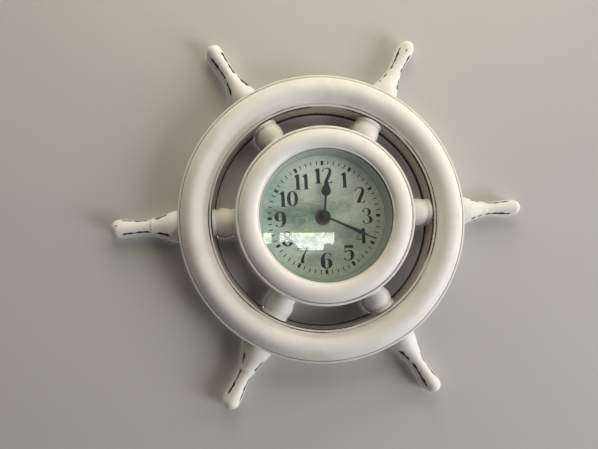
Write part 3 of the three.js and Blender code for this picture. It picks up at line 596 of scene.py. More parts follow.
def figure_two():
    """One sweep over the top and down to the left, on a hairline base that turns up at its end."""
    return [
        stroke([(-4.7, 4.0, 0.45), (-3.4, 6.3, 0.4), (-1.0, 7.4, 0.35), (1.6, 6.9, 0.8), (2.9, 5.0, 1.35),
                (2.3, 1.8, 1.6), (0.2, -2.6, 1.6), (-2.1, -7.3, 1.6)]),
        stroke([(-3.6, -7.3, 0.4), (4.2, -7.3, 0.4)], True), stroke([(3.8, -7.2, 0.7), (4.5, -5.4, 0.3)]),
    ]


def figure_three():
    """A small bowl over a larger one, both swelling at the right, with a dot at each end."""
    return [
        dot(-3.5, 4.9, 0.9), dot(-3.7, -5.2, 0.9),
        stroke([(-4.2, 5.3, 0.4), (-2.6, 7.0, 0.3), (-0.4, 7.4, 0.3), (1.8, 6.4, 1.0), (2.6, 4.1, 1.4),
                (1.9, 1.6, 0.9), (0.0, 0.4, 0.3), (-1.2, 0.3, 0.25)]),
        stroke([(-1.2, 0.3, 0.25), (0.9, 0.1, 0.3), (2.9, -1.5, 1.2), (3.5, -3.9, 1.7), (2.7, -6.2, 1.0),
                (0.2, -7.4, 0.3), (-2.4, -7.1, 0.3), (-4.3, -5.6, 0.4)]),
    ]


def figure_four():
    """A thick stem on a foot, with a slanting hairline and a crossbar at its left."""
    return [
        stroke([(2.4, -7.5, 1.75), (2.4, 7.4, 1.75)], True),
        stroke([(1.6, 7.2, 0.35), (-4.6, -3.2, 0.35)], True),
        stroke([(-4.8, -3.4, 0.4), (1.0, -3.4, 0.4)], True),
        stroke([(0.4, -7.35, 0.35), (4.8, -7.35, 0.35)], True),
    ]


def figure_five():
    """A thick top bar, a hairline down from its left, and a bowl that ends in a dot."""
    return [
        stroke([(-4.2, 6.3, 1.3), (4.4, 6.1, 1.6)], True),
        stroke([(-3.6, 5.6, 0.35), (-3.6, 0.4, 0.35)], True),
        dot(-3.9, -5.6, 0.9),
        stroke([(-3.6, 0.3, 0.35), (-2.0, 1.7, 0.4), (0.3, 2.3, 0.5), (2.6, 1.1, 1.3), (3.3, -2.1, 1.8),
                (2.5, -5.4, 1.2), (0.2, -7.3, 0.35), (-2.4, -7.2, 0.3), (-4.5, -5.9, 0.4)]),
    ]


def figure_six():
    """A stroke from a dot over the thick left side and round a closed bowl."""
    return [
        dot(4.0, 5.7, 0.8),
        stroke([(4.6, 6.0, 0.35), (3.0, 7.1, 0.3), (0.9, 7.4, 0.3), (-1.7, 6.2, 0.9), (-3.3, 3.2, 1.7),
                (-3.5, -0.6, 2.1), (-3.1, -4.4, 1.9), (-1.5, -6.9, 0.8), (0.2, -7.4, 0.35), (2.1, -6.7, 0.8),
                (3.5, -3.9, 1.95), (3.4, -1.3, 1.95), (2.3, 0.9, 0.9), (0.6, 1.5, 0.35), (-1.4, 0.6, 0.25)]),
    ]


def figure_seven():
    """A top bar with a short drop at its left, and a leg that thickens as it comes down."""
    return [
        stroke([(-4.7, 7.0, 0.5), (4.7, 7.0, 0.5)], True), stroke([(-4.5, 7.0, 0.6), (-4.9, 4.6, 0.25)]),
        stroke([(4.3, 6.8, 0.35), (1.9, 2.8, 0.6), (0.1, -1.3, 1.1), (-0.8, -4.6, 1.6), (-1.0, -7.5, 1.8)]),
    ]


def figure_eight():
    """A thick stroke down from left to right and a thinner one back up across it."""
    return [
        stroke([(0.1, 7.4, 0.3), (-2.8, 4.9, 1.4), (-1.2, 1.8, 1.5), (1.5, -0.9, 1.7), (3.4, -4.0, 1.7),
                (0.1, -7.4, 0.35)]),
        stroke([(0.1, -7.4, 0.35), (-3.7, -4.2, 1.5), (-1.9, -0.6, 0.4), (1.5, 1.6, 0.4), (2.8, 4.5, 1.0),
                (0.1, 7.4, 0.3)]),
    ]


def figure_zero():
    """A ring of ink between two ellipses, thick at the sides and thin above and below."""
    around = np.linspace(0, 2 * math.pi, 49)
    outer = np.stack([5.35 * np.sin(around), 7.7 * np.cos(around)], axis=-1)
    inner = np.stack([2.0 * np.sin(around), 7.0 * np.cos(around)], axis=-1)
    columns = []
    for edge, rise in [(outer, 0), (inner, 0), (inner, INK), (outer, INK)]:
        depth = np.full((len(around), 1), DIAL_FRONT + rise)
        columns.append(np.concatenate([edge, depth], axis=1))
    return [np.stack(columns, axis=1)]


def turned_over(strokes):
    """The same strokes turned by half a turn, which makes a nine of a six."""
    return [part * np.array([-1.0, -1.0, 1.0]) for part in strokes]


# %% [markdown]
# The figures stand upright all round the dial, and the minute track runs outside them: a thick
# mark at each hour and a thin one at each minute between. Print is rarely laid down quite square,
# so each figure is turned by half a degree, and the track by twice that and a little off the axis.

# %% Place the print
PRINT_TURN = math.radians(0.56)
FIGURE_SCALE = np.array([1.0, 0.97, 1.0])
FIGURE_DROP = -0.55
TRACK_MIDDLE = (0.5, -0.4)
HOUR_MARK = (50.2, 54.4, 1.35)
MINUTE_MARK = (50.85, 54.55, 0.44)
FIGURES = {1: figure_one, 2: figure_two, 3: figure_three, 4: figure_four, 5: figure_five, 6: figure_six,
           7: figure_seven, 8: figure_eight, 9: lambda: turned_over(figure_six()), 0: figure_zero}
HOURS = [
    ([(1, -5.7), (2, 3.35)], 2.4, 40.0), ([(1, 0.15)], 22.0, 34.9), ([(2, 0)], 36.5, 19.6),
    ([(3, 0.2)], 41.7, -1.0), ([(4, 0)], 34.7, -19.8), ([(5, 0)], 21.8, -35.4),
    ([(6, 0)], -0.25, -41.6), ([(7, 0)], -22.2, -35.4), ([(8, 0)], -36.0, -18.8),
    ([(9, 0)], -41.75, 0.0), ([(1, -5.6), (0, 3.6)], -32.7, 19.2), ([(1, -4.0), (1, 3.9)], -19.2, 35.0),
]


def printed(part, x, z):
    """Turns a stroke by the print's own small turn, moves it, and places it on the dial."""
    across = part[..., 0] * math.cos(PRINT_TURN) + part[..., 1] * math.sin(PRINT_TURN)
    up = part[..., 1] * math.cos(PRINT_TURN) - part[..., 0] * math.sin(PRINT_TURN)
    return wheel(across + x, up + z, part[..., 2])


marks = []
for figures, x, z in HOURS:
    for figure, shift in figures:
        for part in FIGURES[figure]():
            closed = part if figure == 0 else capped(part)
            marks.append(printed(closed * FIGURE_SCALE, x + shift, z + FIGURE_DROP))
for minute in range(60):
    bearing = math.radians(6 * minute) + PRINT_TURN
    inner, outer, half = HOUR_MARK if minute % 5 == 0 else MINUTE_MARK
    ends = [(r * math.sin(bearing), r * math.cos(bearing), half) for r in (inner, outer)]
    marks.append(printed(capped(stroke(ends, True)), *TRACK_MIDDLE))
print_piece = skin("dial_figures", marks, sharp=math.radians(30))

# %% [markdown]
# The model's meshes of the small round parts would show flat facets, so these are turned again:
# the rubber washer under the nut and the cap over the end of the minute arbor. The washer's outer
# edge is moved to the lower left, while its hole stays on the axis.

# %% Washer and cap
WASHER_HOLE = 4.1
WASHER_EDGE = 7.5
WASHER_ROUNDING = 0.2
WASHER_SLIP = -0.8
washer_section = softened([
    [WASHER_HOLE, DIAL_FRONT], [WASHER_EDGE, DIAL_FRONT], [WASHER_EDGE, 17.4], [6.4, 17.4], [6.1, 17.25],
    [WASHER_HOLE, 17.25]], WASHER_ROUNDING)
washer_grid = turned(washer_section, 96)
slip = WASHER_SLIP * MM * (washer_section[:, 0] - WASHER_HOLE) / (WASHER_EDGE - WASHER_HOLE)
washer_grid[..., 0] += slip[:, None]
washer_grid[..., 2] += slip[:, None]
washer = skin("washer_disc", [washer_grid], closed_along=True)
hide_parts("dial_washer")
cap_outline = [[0.0, 24.9], [1.0, 24.86], [1.95, 24.6], [2.45, 24.2], [2.6, 23.7], [2.6, 23.0], [0.0, 23.0]]
cap = skin("hand_cap", [turned(cap_outline, 64)], body="minute_train")
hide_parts("minute_hand_cap")

# %% [markdown]
# Behind the dial sits the movement in its case. Moulded and pressed pieces have small rounded
# edges that catch the light, so a copy of each such piece gets a narrow bevel, and stands for it.

# %% Rounded edges of the movement
EDGES = {
    "movement_case": 0.35, "movement_cover": 0.3, "setting_knob": 0.2, "dial_nut": 0.2, "threaded_bush": 0.12,
    **{"backing_screw_%d" % number: 0.2 for number in range(1, 5)},
    "hour_hand": 0.08, "minute_hand": 0.08,
}
BODY_OF = {part: body for body, parts in frame["record"]["behaviour"]["bodies"].items() for part in parts}
SHARED_POINT = 2e-6
FLAT = math.radians(1)
CORNER = math.radians(35)


def rounded_copy(node, width):
    """Copies a node's mesh, joins the points that its triangles share, and bevels edges over 35 degrees."""
    mesh = frame["nodes"][node].data.copy()
    mesh.name = node + "_rounded"
    shape = bmesh.new()
    shape.from_mesh(mesh)
    bmesh.ops.remove_doubles(shape, verts=shape.verts, dist=SHARED_POINT)
    bmesh.ops.dissolve_limit(shape, angle_limit=FLAT, verts=shape.verts, edges=shape.edges)
    shape.to_mesh(mesh)
    shape.free()
    piece = bpy.data.objects.new(node + "_rounded", mesh)
    bpy.context.scene.collection.objects.link(piece)
    bevel = piece.modifiers.new("rounded_edges", "BEVEL")
    bevel.width = width * MM
    bevel.segments = 2
    bevel.limit_method = "ANGLE"
    bevel.angle_limit = CORNER
    bevel.harden_normals = True
    mesh.shade_smooth()
    mesh.set_sharp_from_angle(angle=CORNER)
    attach(piece, BODY_OF[node])
    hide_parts(node)
    return piece


rounded = {node: rounded_copy(node, width) for node, width in EDGES.items()}
print("rounded:", ", ".join(rounded))

# %% [markdown]
# The cell is a can in a printed sleeve: crimped in at both ends, with a bare steel button at the
# positive end and a steel disc at the negative one. Turned about its own axis it is rounder than
# the model's, and a band of the sleeve near the button has its own colour, as such cells do.

# %% Battery
CELL_STEPS = 96
cell_low, cell_high = [np.array(corner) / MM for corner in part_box("battery")]
cell_radius = (cell_high[1] - cell_low[1]) / 2
cell_length = cell_high[0] - cell_low[0]
print("cell %.1f mm long, radius %.2f mm" % (cell_length, cell_radius))


def along_cell(outline):
    """Turns a closed outline of [distance from the button's face, radius] about the cell's own axis."""
    outline = np.asarray(outline, float)
    turn = np.linspace(0, 2 * math.pi, CELL_STEPS, endpoint=False)[None, :]
    place, radius = outline[:, 0][:, None], outline[:, 1][:, None]
    x, y, z = np.broadcast_arrays(cell_low[0] + place, radius * np.sin(turn), radius * np.cos(turn))
    middle_y, middle_z = (cell_low[1] + cell_high[1]) / 2, (cell_low[2] + cell_high[2]) / 2
    return np.stack([x, y + middle_y, z + middle_z], axis=-1) * MM


BUTTON, BUTTON_RADIUS = 1.3, 2.75
SLEEVE, SLEEVE_GAP = 0.1, 0.02
BAND_END, BAND_EDGE = 12.0, 0.2
can_radius = cell_radius - SLEEVE - SLEEVE_GAP
can_outline = [
    [0, 0], [0, BUTTON_RADIUS - 0.4], [0.3, BUTTON_RADIUS], [BUTTON, BUTTON_RADIUS],
    [BUTTON + 0.3, can_radius - 1.2], [BUTTON, can_radius - 0.9], [BUTTON + 0.1, can_radius - 0.3],
    [BUTTON + 0.7, can_radius], [cell_length - 0.7, can_radius], [cell_length, can_radius - 0.7],
    [cell_length, can_radius - 1.3], [cell_length - 0.3, can_radius - 1.6], [cell_length - 0.3, 0],
]
can = skin("cell_can", [along_cell(can_outline)], sharp=math.radians(50))
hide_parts("battery")
inside_sleeve = can_radius + SLEEVE_GAP
sleeve_outline = [
    [BUTTON + 0.5, can_radius - 0.1], [BUTTON + 0.6, cell_radius - 0.05], [BUTTON + 0.9, cell_radius],
    [BUTTON + BAND_END, cell_radius], [BUTTON + BAND_END + BAND_EDGE, cell_radius],
    [cell_length - 0.9, cell_radius], [cell_length - 0.6, cell_radius - 0.05],
    [cell_length - 0.5, can_radius - 0.1], [cell_length - 0.9, inside_sleeve], [BUTTON + 0.9, inside_sleeve],
]
sleeve_band = np.zeros((len(sleeve_outline), CELL_STEPS))
sleeve_band[:4] = 1
sleeve = skin("cell_sleeve", [along_cell(sleeve_outline)], [sleeve_band], closed_along=True)
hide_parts("battery")

# %% [markdown]
# Materials are built from nodes. Colours are written as the sRGB values that a paint chart gives
# and are turned to the linear values that the shader takes.

# %% Material helpers
def colour(code):
    """sRGB hex to linear: c/12.92 below 0.04045, else ((c + 0.055)/1.055)^2.4."""
    parts = [int(code[k:k + 2], 16) / 255 for k in (0, 2, 4)]
    return [c / 12.92 if c <= 0.04045 else ((c + 0.055) / 1.055) ** 2.4 for c in parts] + [1.0]


def add(material, kind, inputs=None, **settings):
    """Adds a node. An input gets a link where its value is another node's socket, else the value."""
    tree = material.node_tree
    made = tree.nodes.new(kind)
    for key, value in settings.items():
        setattr(made, key, value)
    for key, value in (inputs or {}).items():
        if isinstance(value, bpy.types.NodeSocket):
            tree.links.new(value, made.inputs[key])
        else:
            made.inputs[key].default_value = value
    return made


def new_material(name):
    """A material with no nodes in it yet."""
    material = bpy.data.materials.new(name)
    material.use_nodes = True
    material.node_tree.nodes.clear()
    return material


def finish_with(material, shader):
    """Joins the last shader to the material's output, and hands the material back."""
    add(material, "ShaderNodeOutputMaterial", {"Surface": shader.outputs[0]})
    return material


def per_metre(size_mm):
    """A pattern's scale in object coordinates, from the real size of one grain in mm."""
    return 1 / (size_mm * MM)


# %% [markdown]
# Distressed paint: satin off-white brushed over a black-brown base coat. The white has a faint
# drift in tone and fine brush marks. Where the kept number says the piece is rubbed, a ragged
# noise decides which spots show the dark base, so each stroke gets a broken edge. A brown halo
# round the rubbed lines is partly glaze caught at worn edges and partly painted shade on the rim's
# inner wall. The second kept number mixes in a dull brown as painted shade: in the recess between
# rim and hub, and on the rim's inner slope, mostly at the left.

# %% Distressed paint
def distressed_paint():
    m = new_material("distressed_paint")
    place = add(m, "ShaderNodeTexCoord").outputs["Object"]
    drift = add(m, "ShaderNodeTexNoise", {"Vector": place, "Scale": per_metre(60), "Detail": 3.0})
    tone = add(m, "ShaderNodeMix", {
        "Factor": drift.outputs["Fac"], "A": colour("ebeae5"), "B": colour("e2e0da")}, data_type="RGBA")
    rub = add(m, "ShaderNodeAttribute", attribute_name="rub")
    ragged = add(m, "ShaderNodeTexNoise", {
        "Vector": place, "Scale": per_metre(1.7), "Detail": 4.0, "Roughness": 0.65})
    spread = add(m, "ShaderNodeMath", {0: ragged.outputs["Fac"], 1: 1.3, 2: -0.65}, operation="MULTIPLY_ADD")
    level = add(m, "ShaderNodeMath", {0: rub.outputs["Fac"], 1: spread.outputs[0]}, operation="ADD")
    bare = add(m, "ShaderNodeMapRange", {
        "Value": level.outputs[0], "From Min": 0.38, "From Max": 0.52}, interpolation_type="SMOOTHSTEP")
    held = add(m, "ShaderNodeMath", {0: bare.outputs[0], 1: rub.outputs["Fac"]}, operation="MULTIPLY")
    gate = add(m, "ShaderNodeMapRange", {"Value": held.outputs[0], "From Min": 0.05, "From Max": 0.35})
    smears = add(m, "ShaderNodeTexNoise", {
        "Vector": place, "Scale": per_metre(28), "Detail": 5.0, "Roughness": 0.6})
    faint = add(m, "ShaderNodeMapRange", {
        "Value": smears.outputs["Fac"], "From Min": 0.52, "From Max": 0.72, "To Max": 0.3})
    glazed = add(m, "ShaderNodeMix", {
        "Factor": faint.outputs[0], "A": tone.outputs["Result"], "B": colour("c3b5a2")}, data_type="RGBA")
    # Painted shade in part: the brown halo round rubbed lines also darkens the rim's inner wall.
    glaze_halo_and_shade = add(m, "ShaderNodeMapRange", {
        "Value": rub.outputs["Fac"], "From Min": 0.02, "From Max": 0.4, "To Max": 0.5})
    stained = add(m, "ShaderNodeMix", {
        "Factor": glaze_halo_and_shade.outputs[0], "A": glazed.outputs["Result"], "B": colour("8c7f6b")}, data_type="RGBA")
    # Painted shade: a dull brown where the recess and the rim's left inner slope lie in shade.
    painted_shade = add(m, "ShaderNodeAttribute", attribute_name="painted_shade").outputs["Fac"]
    shade_mixed = add(m, "ShaderNodeMix", {
        "Factor": painted_shade, "A": stained.outputs["Result"], "B": colour("7d735f")}, data_type="RGBA")
    base = add(m, "ShaderNodeMix", {
        "Factor": gate.outputs[0], "A": shade_mixed.outputs["Result"], "B": colour("1b1613")}, data_type="RGBA")
    shine = add(m, "ShaderNodeMapRange", {"Value": gate.outputs[0], "To Min": 0.5, "To Max": 0.7})
    brushed = add(m, "ShaderNodeTexNoise", {"Vector": place, "Scale": per_metre(1.6), "Detail": 3.0})
    height = add(m, "ShaderNodeMath", {
        0: gate.outputs[0], 1: -1.0, 2: brushed.outputs["Fac"]}, operation="MULTIPLY_ADD")
    bump = add(m, "ShaderNodeBump", {"Height": height.outputs[0], "Strength": 0.12, "Distance": 0.0002})
    surface = add(m, "ShaderNodeBsdfPrincipled", {
        "Base Color": base.outputs["Result"], "Roughness": shine.outputs[0], "Normal": bump.outputs[0]})
    return finish_with(m, surface)


# %% [markdown]
# Float glass: two polished flat faces. Light from the lamps has to reach the dial, and a
# path tracer loses it in clear glass, so for shadow rays the pane counts as open.

# %% Lens glass
def lens_glass():
    m = new_material("float_glass")
    clear = add(m, "ShaderNodeBsdfPrincipled", {
        "Base Color": colour("ffffff"), "Roughness": 0.0, "IOR": 1.5, "Transmission Weight": 1.0})
    open_way = add(m, "ShaderNodeBsdfTransparent", {"Color": colour("f7faf8")})
    rays = add(m, "ShaderNodeLightPath")
    mixed = add(m, "ShaderNodeMixShader", {
        0: rays.outputs["Is Shadow Ray"], 1: clear.outputs[0], 2: open_way.outputs[0]})
    return finish_with(m, mixed)


# %% [markdown]
# Printed card: the dial is matt paper with a watery wash, pale sea-green at the left running to
# cream at the right; the lighter right side is partly painted light, against the shade that the
# well's wall casts on the dial. Over it lie ten soft blooms, darkest across the middle, which are
# partly the print's wash and partly painted shade and painted light: the well's shadow and the fall
# of light across the dial. Each bloom is an oval with a middle, two half sizes in mm, a colour and a
# strength; it fades to its edge, and noise bends all the edges as water does. Light and dark flecks
# of a few mm lie over all. Real paper fibres are finer than the ones drawn here, which are as coarse
# as they need to show.

# %% Printed dial
# Painted shade and painted light, partly the print's own wash: the blooms follow the dial's tones in its
# well.
WASH_AND_SHADE_BLOOMS = [
    (0, 44, 46, 20, "cdd6c6", 0.9), (-24, 3, 44, 14, "58735f", 0.9), (10, 9, 32, 11, "7b8a7a", 0.75),
    (-4, -40, 32, 11, "748679", 0.8), (-10, -14, 42, 14, "80917f", 0.6), (-51, 26, 13, 12, "74aca0", 0.55),
    (24, -38, 18, 14, "a3ac98", 0.6), (48, 15, 20, 32, "cfcfc2", 0.75), (-42, -32, 14, 20, "a6b6a8", 0.7),
    (22, -20, 20, 12, "6f7d6e", 0.7),
]


def printed_card():
    m = new_material("printed_card")
    place = add(m, "ShaderNodeTexCoord").outputs["Object"]
    to_axis = (-AXIS_X * MM, 0, -AXIS_Z * MM)
    centred = add(m, "ShaderNodeMapping", {"Vector": place, "Location": to_axis}).outputs[0]
    water = add(m, "ShaderNodeTexNoise", {
        "Vector": centred, "Scale": per_metre(24), "Detail": 5.0, "Roughness": 0.6})
    push = add(m, "ShaderNodeVectorMath", {0: water.outputs["Color"], 1: (-0.5, -0.5, -0.5)}, operation="ADD")
    bent = add(m, "ShaderNodeVectorMath", {
        0: push.outputs[0], 1: (0.03, 0.03, 0.03), 2: centred}, operation="MULTIPLY_ADD")
    apart = add(m, "ShaderNodeSeparateXYZ", {0: bent.outputs[0]})
    slope = add(m, "ShaderNodeMapRange", {"Value": apart.outputs["X"], "From Min": -0.05, "From Max": 0.05})
    # Painted light in part: the cream right side lifts the dial where the well's wall shades it.
    wash_and_light = add(m, "ShaderNodeMix", {
        "Factor": slope.outputs[0], "A": colour("a2b6a6"), "B": colour("aeb3a1")}, data_type="RGBA")
    tone = wash_and_light.outputs["Result"]
    for x, z, half_width, half_height, code, strength in WASH_AND_SHADE_BLOOMS:
        oval = add(m, "ShaderNodeMapping", {
            "Vector": bent.outputs[0], "Scale": (1 / (half_width * MM), 0.0, 1 / (half_height * MM)),
            "Location": (-x / half_width, 0, -z / half_height)})
        reach = add(m, "ShaderNodeVectorMath", {0: oval.outputs[0]}, operation="LENGTH")
        share = add(m, "ShaderNodeMapRange", {
            "Value": reach.outputs["Value"], "From Min": 1.15, "From Max": 0.25, "To Max": strength,
        }, interpolation_type="SMOOTHSTEP")
        wash_and_shade = add(m, "ShaderNodeMix", {
            "Factor": share.outputs[0], "A": tone, "B": colour(code)}, data_type="RGBA")
        tone = wash_and_shade.outputs["Result"]
    streaks = add(m, "ShaderNodeMapping", {"Vector": centred, "Scale": (1.0, 1.0, 1.9)}).outputs[0]
    grain = add(m, "ShaderNodeTexNoise", {
        "Vector": streaks, "Scale": per_metre(6), "Detail": 6.0, "Roughness": 0.7, "Distortion": 0.6})
    for reach_end, strength, code in [(0.72, 0.4, "cdd3c2"), (0.26, 0.45, "6d7d6e")]:
        fleck = add(m, "ShaderNodeMapRange", {
            "Value": grain.outputs["Fac"], "From Min": 0.49, "From Max": reach_end, "To Max": strength})
        flecked = add(m, "ShaderNodeMix", {
            "Factor": fleck.outputs[0], "A": tone, "B": colour(code)}, data_type="RGBA")
        tone = flecked.outputs["Result"]
    fibres = add(m, "ShaderNodeTexNoise", {"Vector": centred, "Scale": per_metre(0.7), "Detail": 2.0})
    bump = add(m, "ShaderNodeBump", {"Height": fibres.outputs["Fac"], "Strength": 0.1, "Distance": 0.0001})
    surface = add(m, "ShaderNodeBsdfPrincipled", {
        "Base Color": tone, "Roughness": 0.65, "Normal": bump.outputs[0]})
    return finish_with(m, surface)


# %% [markdown]
# Most of the other pieces have one base colour with a small drift and a fine surface texture,
# in different colours, grain sizes and gloss. One function makes them, and each call is named
# for the real material. Real grain on moulded plastic and bright metal is mostly finer than these
# sizes, which are as coarse as they need to show. Metals keep the shader's own IOR.

# %% Moulded, painted and metal finishes
GLOSS_SPREAD = 0.08
PLASTIC_IOR = 1.46


def grained(name, first, second, grain_mm, roughness, metallic=0.0, bump=0.1, stretch=(1, 1, 1)):
    """Mixes two near colours by noise of the grain's size, and takes finer noise, a third of that size,
    for roughness and bump. 'stretch' squeezes the pattern along x, y or z for drawn metal."""
    m = new_material(name)
    place = add(m, "ShaderNodeTexCoord").outputs["Object"]
    laid = add(m, "ShaderNodeMapping", {"Vector": place, "Scale": stretch}).outputs[0]
    drift = add(m, "ShaderNodeTexNoise", {"Vector": laid, "Scale": per_metre(grain_mm), "Detail": 4.0})
    tone = add(m, "ShaderNodeMix", {
        "Factor": drift.outputs["Fac"], "A": colour(first), "B": colour(second)}, data_type="RGBA")
    fine = add(m, "ShaderNodeTexNoise", {"Vector": laid, "Scale": per_metre(grain_mm / 3), "Detail": 2.0})
    shine = add(m, "ShaderNodeMapRange", {
        "Value": fine.outputs["Fac"], "To Min": roughness - GLOSS_SPREAD, "To Max": roughness + GLOSS_SPREAD})
    raised = add(m, "ShaderNodeBump", {"Height": fine.outputs["Fac"], "Strength": bump, "Distance": 0.0001})
    values = {
        "Base Color": tone.outputs["Result"], "Roughness": shine.outputs[0], "Metallic": metallic,
        "Normal": raised.outputs[0]}
    if metallic == 0.0:
        values["IOR"] = PLASTIC_IOR
    return finish_with(m, add(m, "ShaderNodeBsdfPrincipled", values))


def cell_sleeve_print():
    """A glossy sleeve whose two colours follow the number kept on the piece."""
    m = new_material("printed_cell_sleeve")
    place = add(m, "ShaderNodeTexCoord").outputs["Object"]
    band = add(m, "ShaderNodeAttribute", attribute_name="rub")
    edge = add(m, "ShaderNodeMapRange", {"Value": band.outputs["Fac"], "From Min": 0.45, "From Max": 0.55})
    tone = add(m, "ShaderNodeMix", {
        "Factor": edge.outputs[0], "A": colour("3d5a52"), "B": colour("b9a263")}, data_type="RGBA")
    scuffs = add(m, "ShaderNodeTexNoise", {
        "Vector": place, "Scale": per_metre(3), "Detail": 4.0}).outputs["Fac"]
    shine = add(m, "ShaderNodeMapRange", {"Value": scuffs, "To Min": 0.22, "To Max": 0.42})
    wrinkle = add(m, "ShaderNodeBump", {"Height": scuffs, "Strength": 0.05, "Distance": 0.0002})
    surface = add(m, "ShaderNodeBsdfPrincipled", {
        "Base Color": tone.outputs["Result"], "Roughness": shine.outputs[0], "Normal": wrinkle.outputs[0]})
    return finish_with(m, surface)


finishes = {
    "distressed_paint": distressed_paint(),
    "lens_glass": lens_glass(),
    "dial_print": printed_card(),
    "spacer_plastic": grained("matt_styrene", "939a8f", "8c9388", 1.2, 0.55),
    "black_plastic": grained("spark_textured_abs", "1c1c1d", "232324", 0.8, 0.5, bump=0.35),
    "white_plastic": grained("moulded_acetal", "dddcd6", "d3d2cb", 1.5, 0.4),
    "black_hands": grained("painted_stamped_aluminium", "161b17", "1e231f", 1.0, 0.5),
    "brown_rubber": grained("dark_brown_rubber", "64564f", "4c413b", 0.8, 0.6, bump=0.3),
    "brass": grained("turned_brass", "b99858", "a8874a", 0.6, 0.3, metallic=1.0),
    "blackened_nut": grained("blackened_steel", "2b2724", "24211f", 0.6, 0.5, metallic=0.4),
    "steel": grained("bright_steel", "b4b6b8", "a2a4a7", 0.5, 0.3, metallic=1.0),
    "magnet": grained("ferrite_magnet", "56575a", "4b4c4f", 0.7, 0.55),
    "copper_wire": grained(
        "enamelled_copper_winding", "a8603a", "8b4a2a", 0.25, 0.35,
        metallic=1.0, bump=0.5, stretch=(1, 1, 4)),
    "board": grained("solder_masked_board", "2f5a3c", "274e34", 1.5, 0.35),
    "battery_jacket": cell_sleeve_print(),
    "ink": grained("letterpress_ink", "161c14", "20271d", 0.9, 0.65),
}

# %% [markdown]
# Each model node keeps the slot that the record names for it, so its finish is looked up there.
# A new piece takes the finish listed for it: the cell's bare can takes steel, the print takes the
# ink, which the record doesn't name, and each rounded copy takes the finish of its node's slot.
# The cell's bare can counts as steel, and the print, whose ink the record doesn't name, goes with
# the dial.

# %% Give every piece its finish
slot_of = {part["node"]: part["material_slot"] for part in frame["record"]["subparts"]}
for name, node_object in frame["nodes"].items():
    node_object.data.materials.clear()
    node_object.data.materials.append(finishes[slot_of[name]])
handles = [bpy.data.objects["turned_handle_%d" % number] for number in SPOKES]
beads = [bpy.data.objects["ball_bead_%d" % number] for number in SPOKES]
dressed = {
    "distressed_paint": [rim, hub, bezel, *handles, *beads], "spacer_plastic": [spacer], "ink": [print_piece],
    "brown_rubber": [washer], "black_hands": [cap], "steel": [can], "battery_jacket": [sleeve],
}
for node, piece in rounded.items():
    dressed.setdefault(slot_of[node], []).append(piece)
for slot_name, pieces in dressed.items():
    for piece in pieces:
        piece.data.materials.clear()
        piece.data.materials.append(finishes[slot_name])
print("pieces per finish:", {slot_name: len(pieces) for slot_name, pieces in dressed.items()})

# %% [markdown]
# The clock hangs on a plain wall that runs down into a floor in one soft bend, as a photographer's
# sweep does. It is one strip of faces: a path of depth and height, repeated across the width.

# %% Wall and floor
WALL_GAP = 0.0025
WALL_TOP = 4.0
FLOOR_DROP = 2.4
FLOOR_REACH = 8.0
BEND, BEND_START = 0.35, 0.01
sweep_angle = np.linspace(0, math.pi / 2, 13)
floor_z = AXIS_Z * MM - FLOOR_DROP
upright = np.array([[WALL_GAP, WALL_TOP], [WALL_GAP, floor_z + BEND + BEND_START]])
bend_y = WALL_GAP - BEND + BEND * np.cos(sweep_angle)
bend_z = floor_z + BEND - BEND * np.sin(sweep_angle)
path = np.concatenate([upright, np.stack([bend_y, bend_z], axis=-1), [[-FLOOR_REACH, floor_z]]])
width = np.linspace(-FLOOR_REACH, FLOOR_REACH, 9)
sweep_places = np.broadcast_arrays(width[None, :], path[:, 0][:, None], path[:, 1][:, None])
sweep_points = np.stack(sweep_places, axis=-1)
rows, columns = sweep_points.shape[:2]
index = np.arange(rows * columns).reshape(rows, columns)
quads = [index[:-1, :-1], index[1:, :-1], index[1:, 1:], index[:-1, 1:]]
sweep_faces = np.stack(quads, axis=-1).reshape(-1, 4)
sweep_mesh = bpy.data.meshes.new("wall_and_floor")
sweep_mesh.from_pydata(sweep_points.reshape(-1, 3), [], sweep_faces.tolist())
sweep_mesh.shade_smooth()
backdrop = bpy.data.objects.new("wall_and_floor", sweep_mesh)
bpy.context.scene.collection.objects.link(backdrop)
backdrop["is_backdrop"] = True
print("wall and floor: %d faces" % len(sweep_faces))

# %% [markdown]
# Wall emulsion: a flat pale grey that drifts very slightly over the width of the wall. Its face is
# only seen from the front: from behind it is transparent, so that the clock's back can be looked
# at too.

# %% Wall paint
def wall_emulsion():
    m = new_material("wall_emulsion")
    place = add(m, "ShaderNodeTexCoord").outputs["Object"]
    drift = add(m, "ShaderNodeTexNoise", {"Vector": place, "Scale": per_metre(400), "Detail": 2.0})
    tone = add(m, "ShaderNodeMix", {
        "Factor": drift.outputs["Fac"], "A": colour("c0bfbc"), "B": colour("bab9b6")}, data_type="RGBA")
    front = add(m, "ShaderNodeBsdfPrincipled", {
        "Base Color": tone.outputs["Result"], "Roughness": 0.8, "Specular IOR Level": 0.2})
    behind = add(m, "ShaderNodeBsdfTransparent")
    facing = add(m, "ShaderNodeNewGeometry")
    mixed = add(m, "ShaderNodeMixShader", {
        0: facing.outputs["Backfacing"], 1: front.outputs[0], 2: behind.outputs[0]})
    return finish_with(m, mixed)


sweep_mesh.materials.append(wall_emulsion())

# %% [markdown]
# The room is lit mostly from its sides, which leaves the recess between hub and rim dark. Three
# broad lamps at the right stand for a window: warm sky, cooler light from above, and the strongest
# from the ground outside. Two warm ones stand at the left and one overhead. A small weak one
# near by, above the camera, lifts the top of the clock more than its foot. All are soft squares or
# oblongs, as window light is.

# %% Lamps
CENTRE = np.array([AXIS_X, 0.0, AXIS_Z]) * MM
LAMP_DISTANCE = 2.4


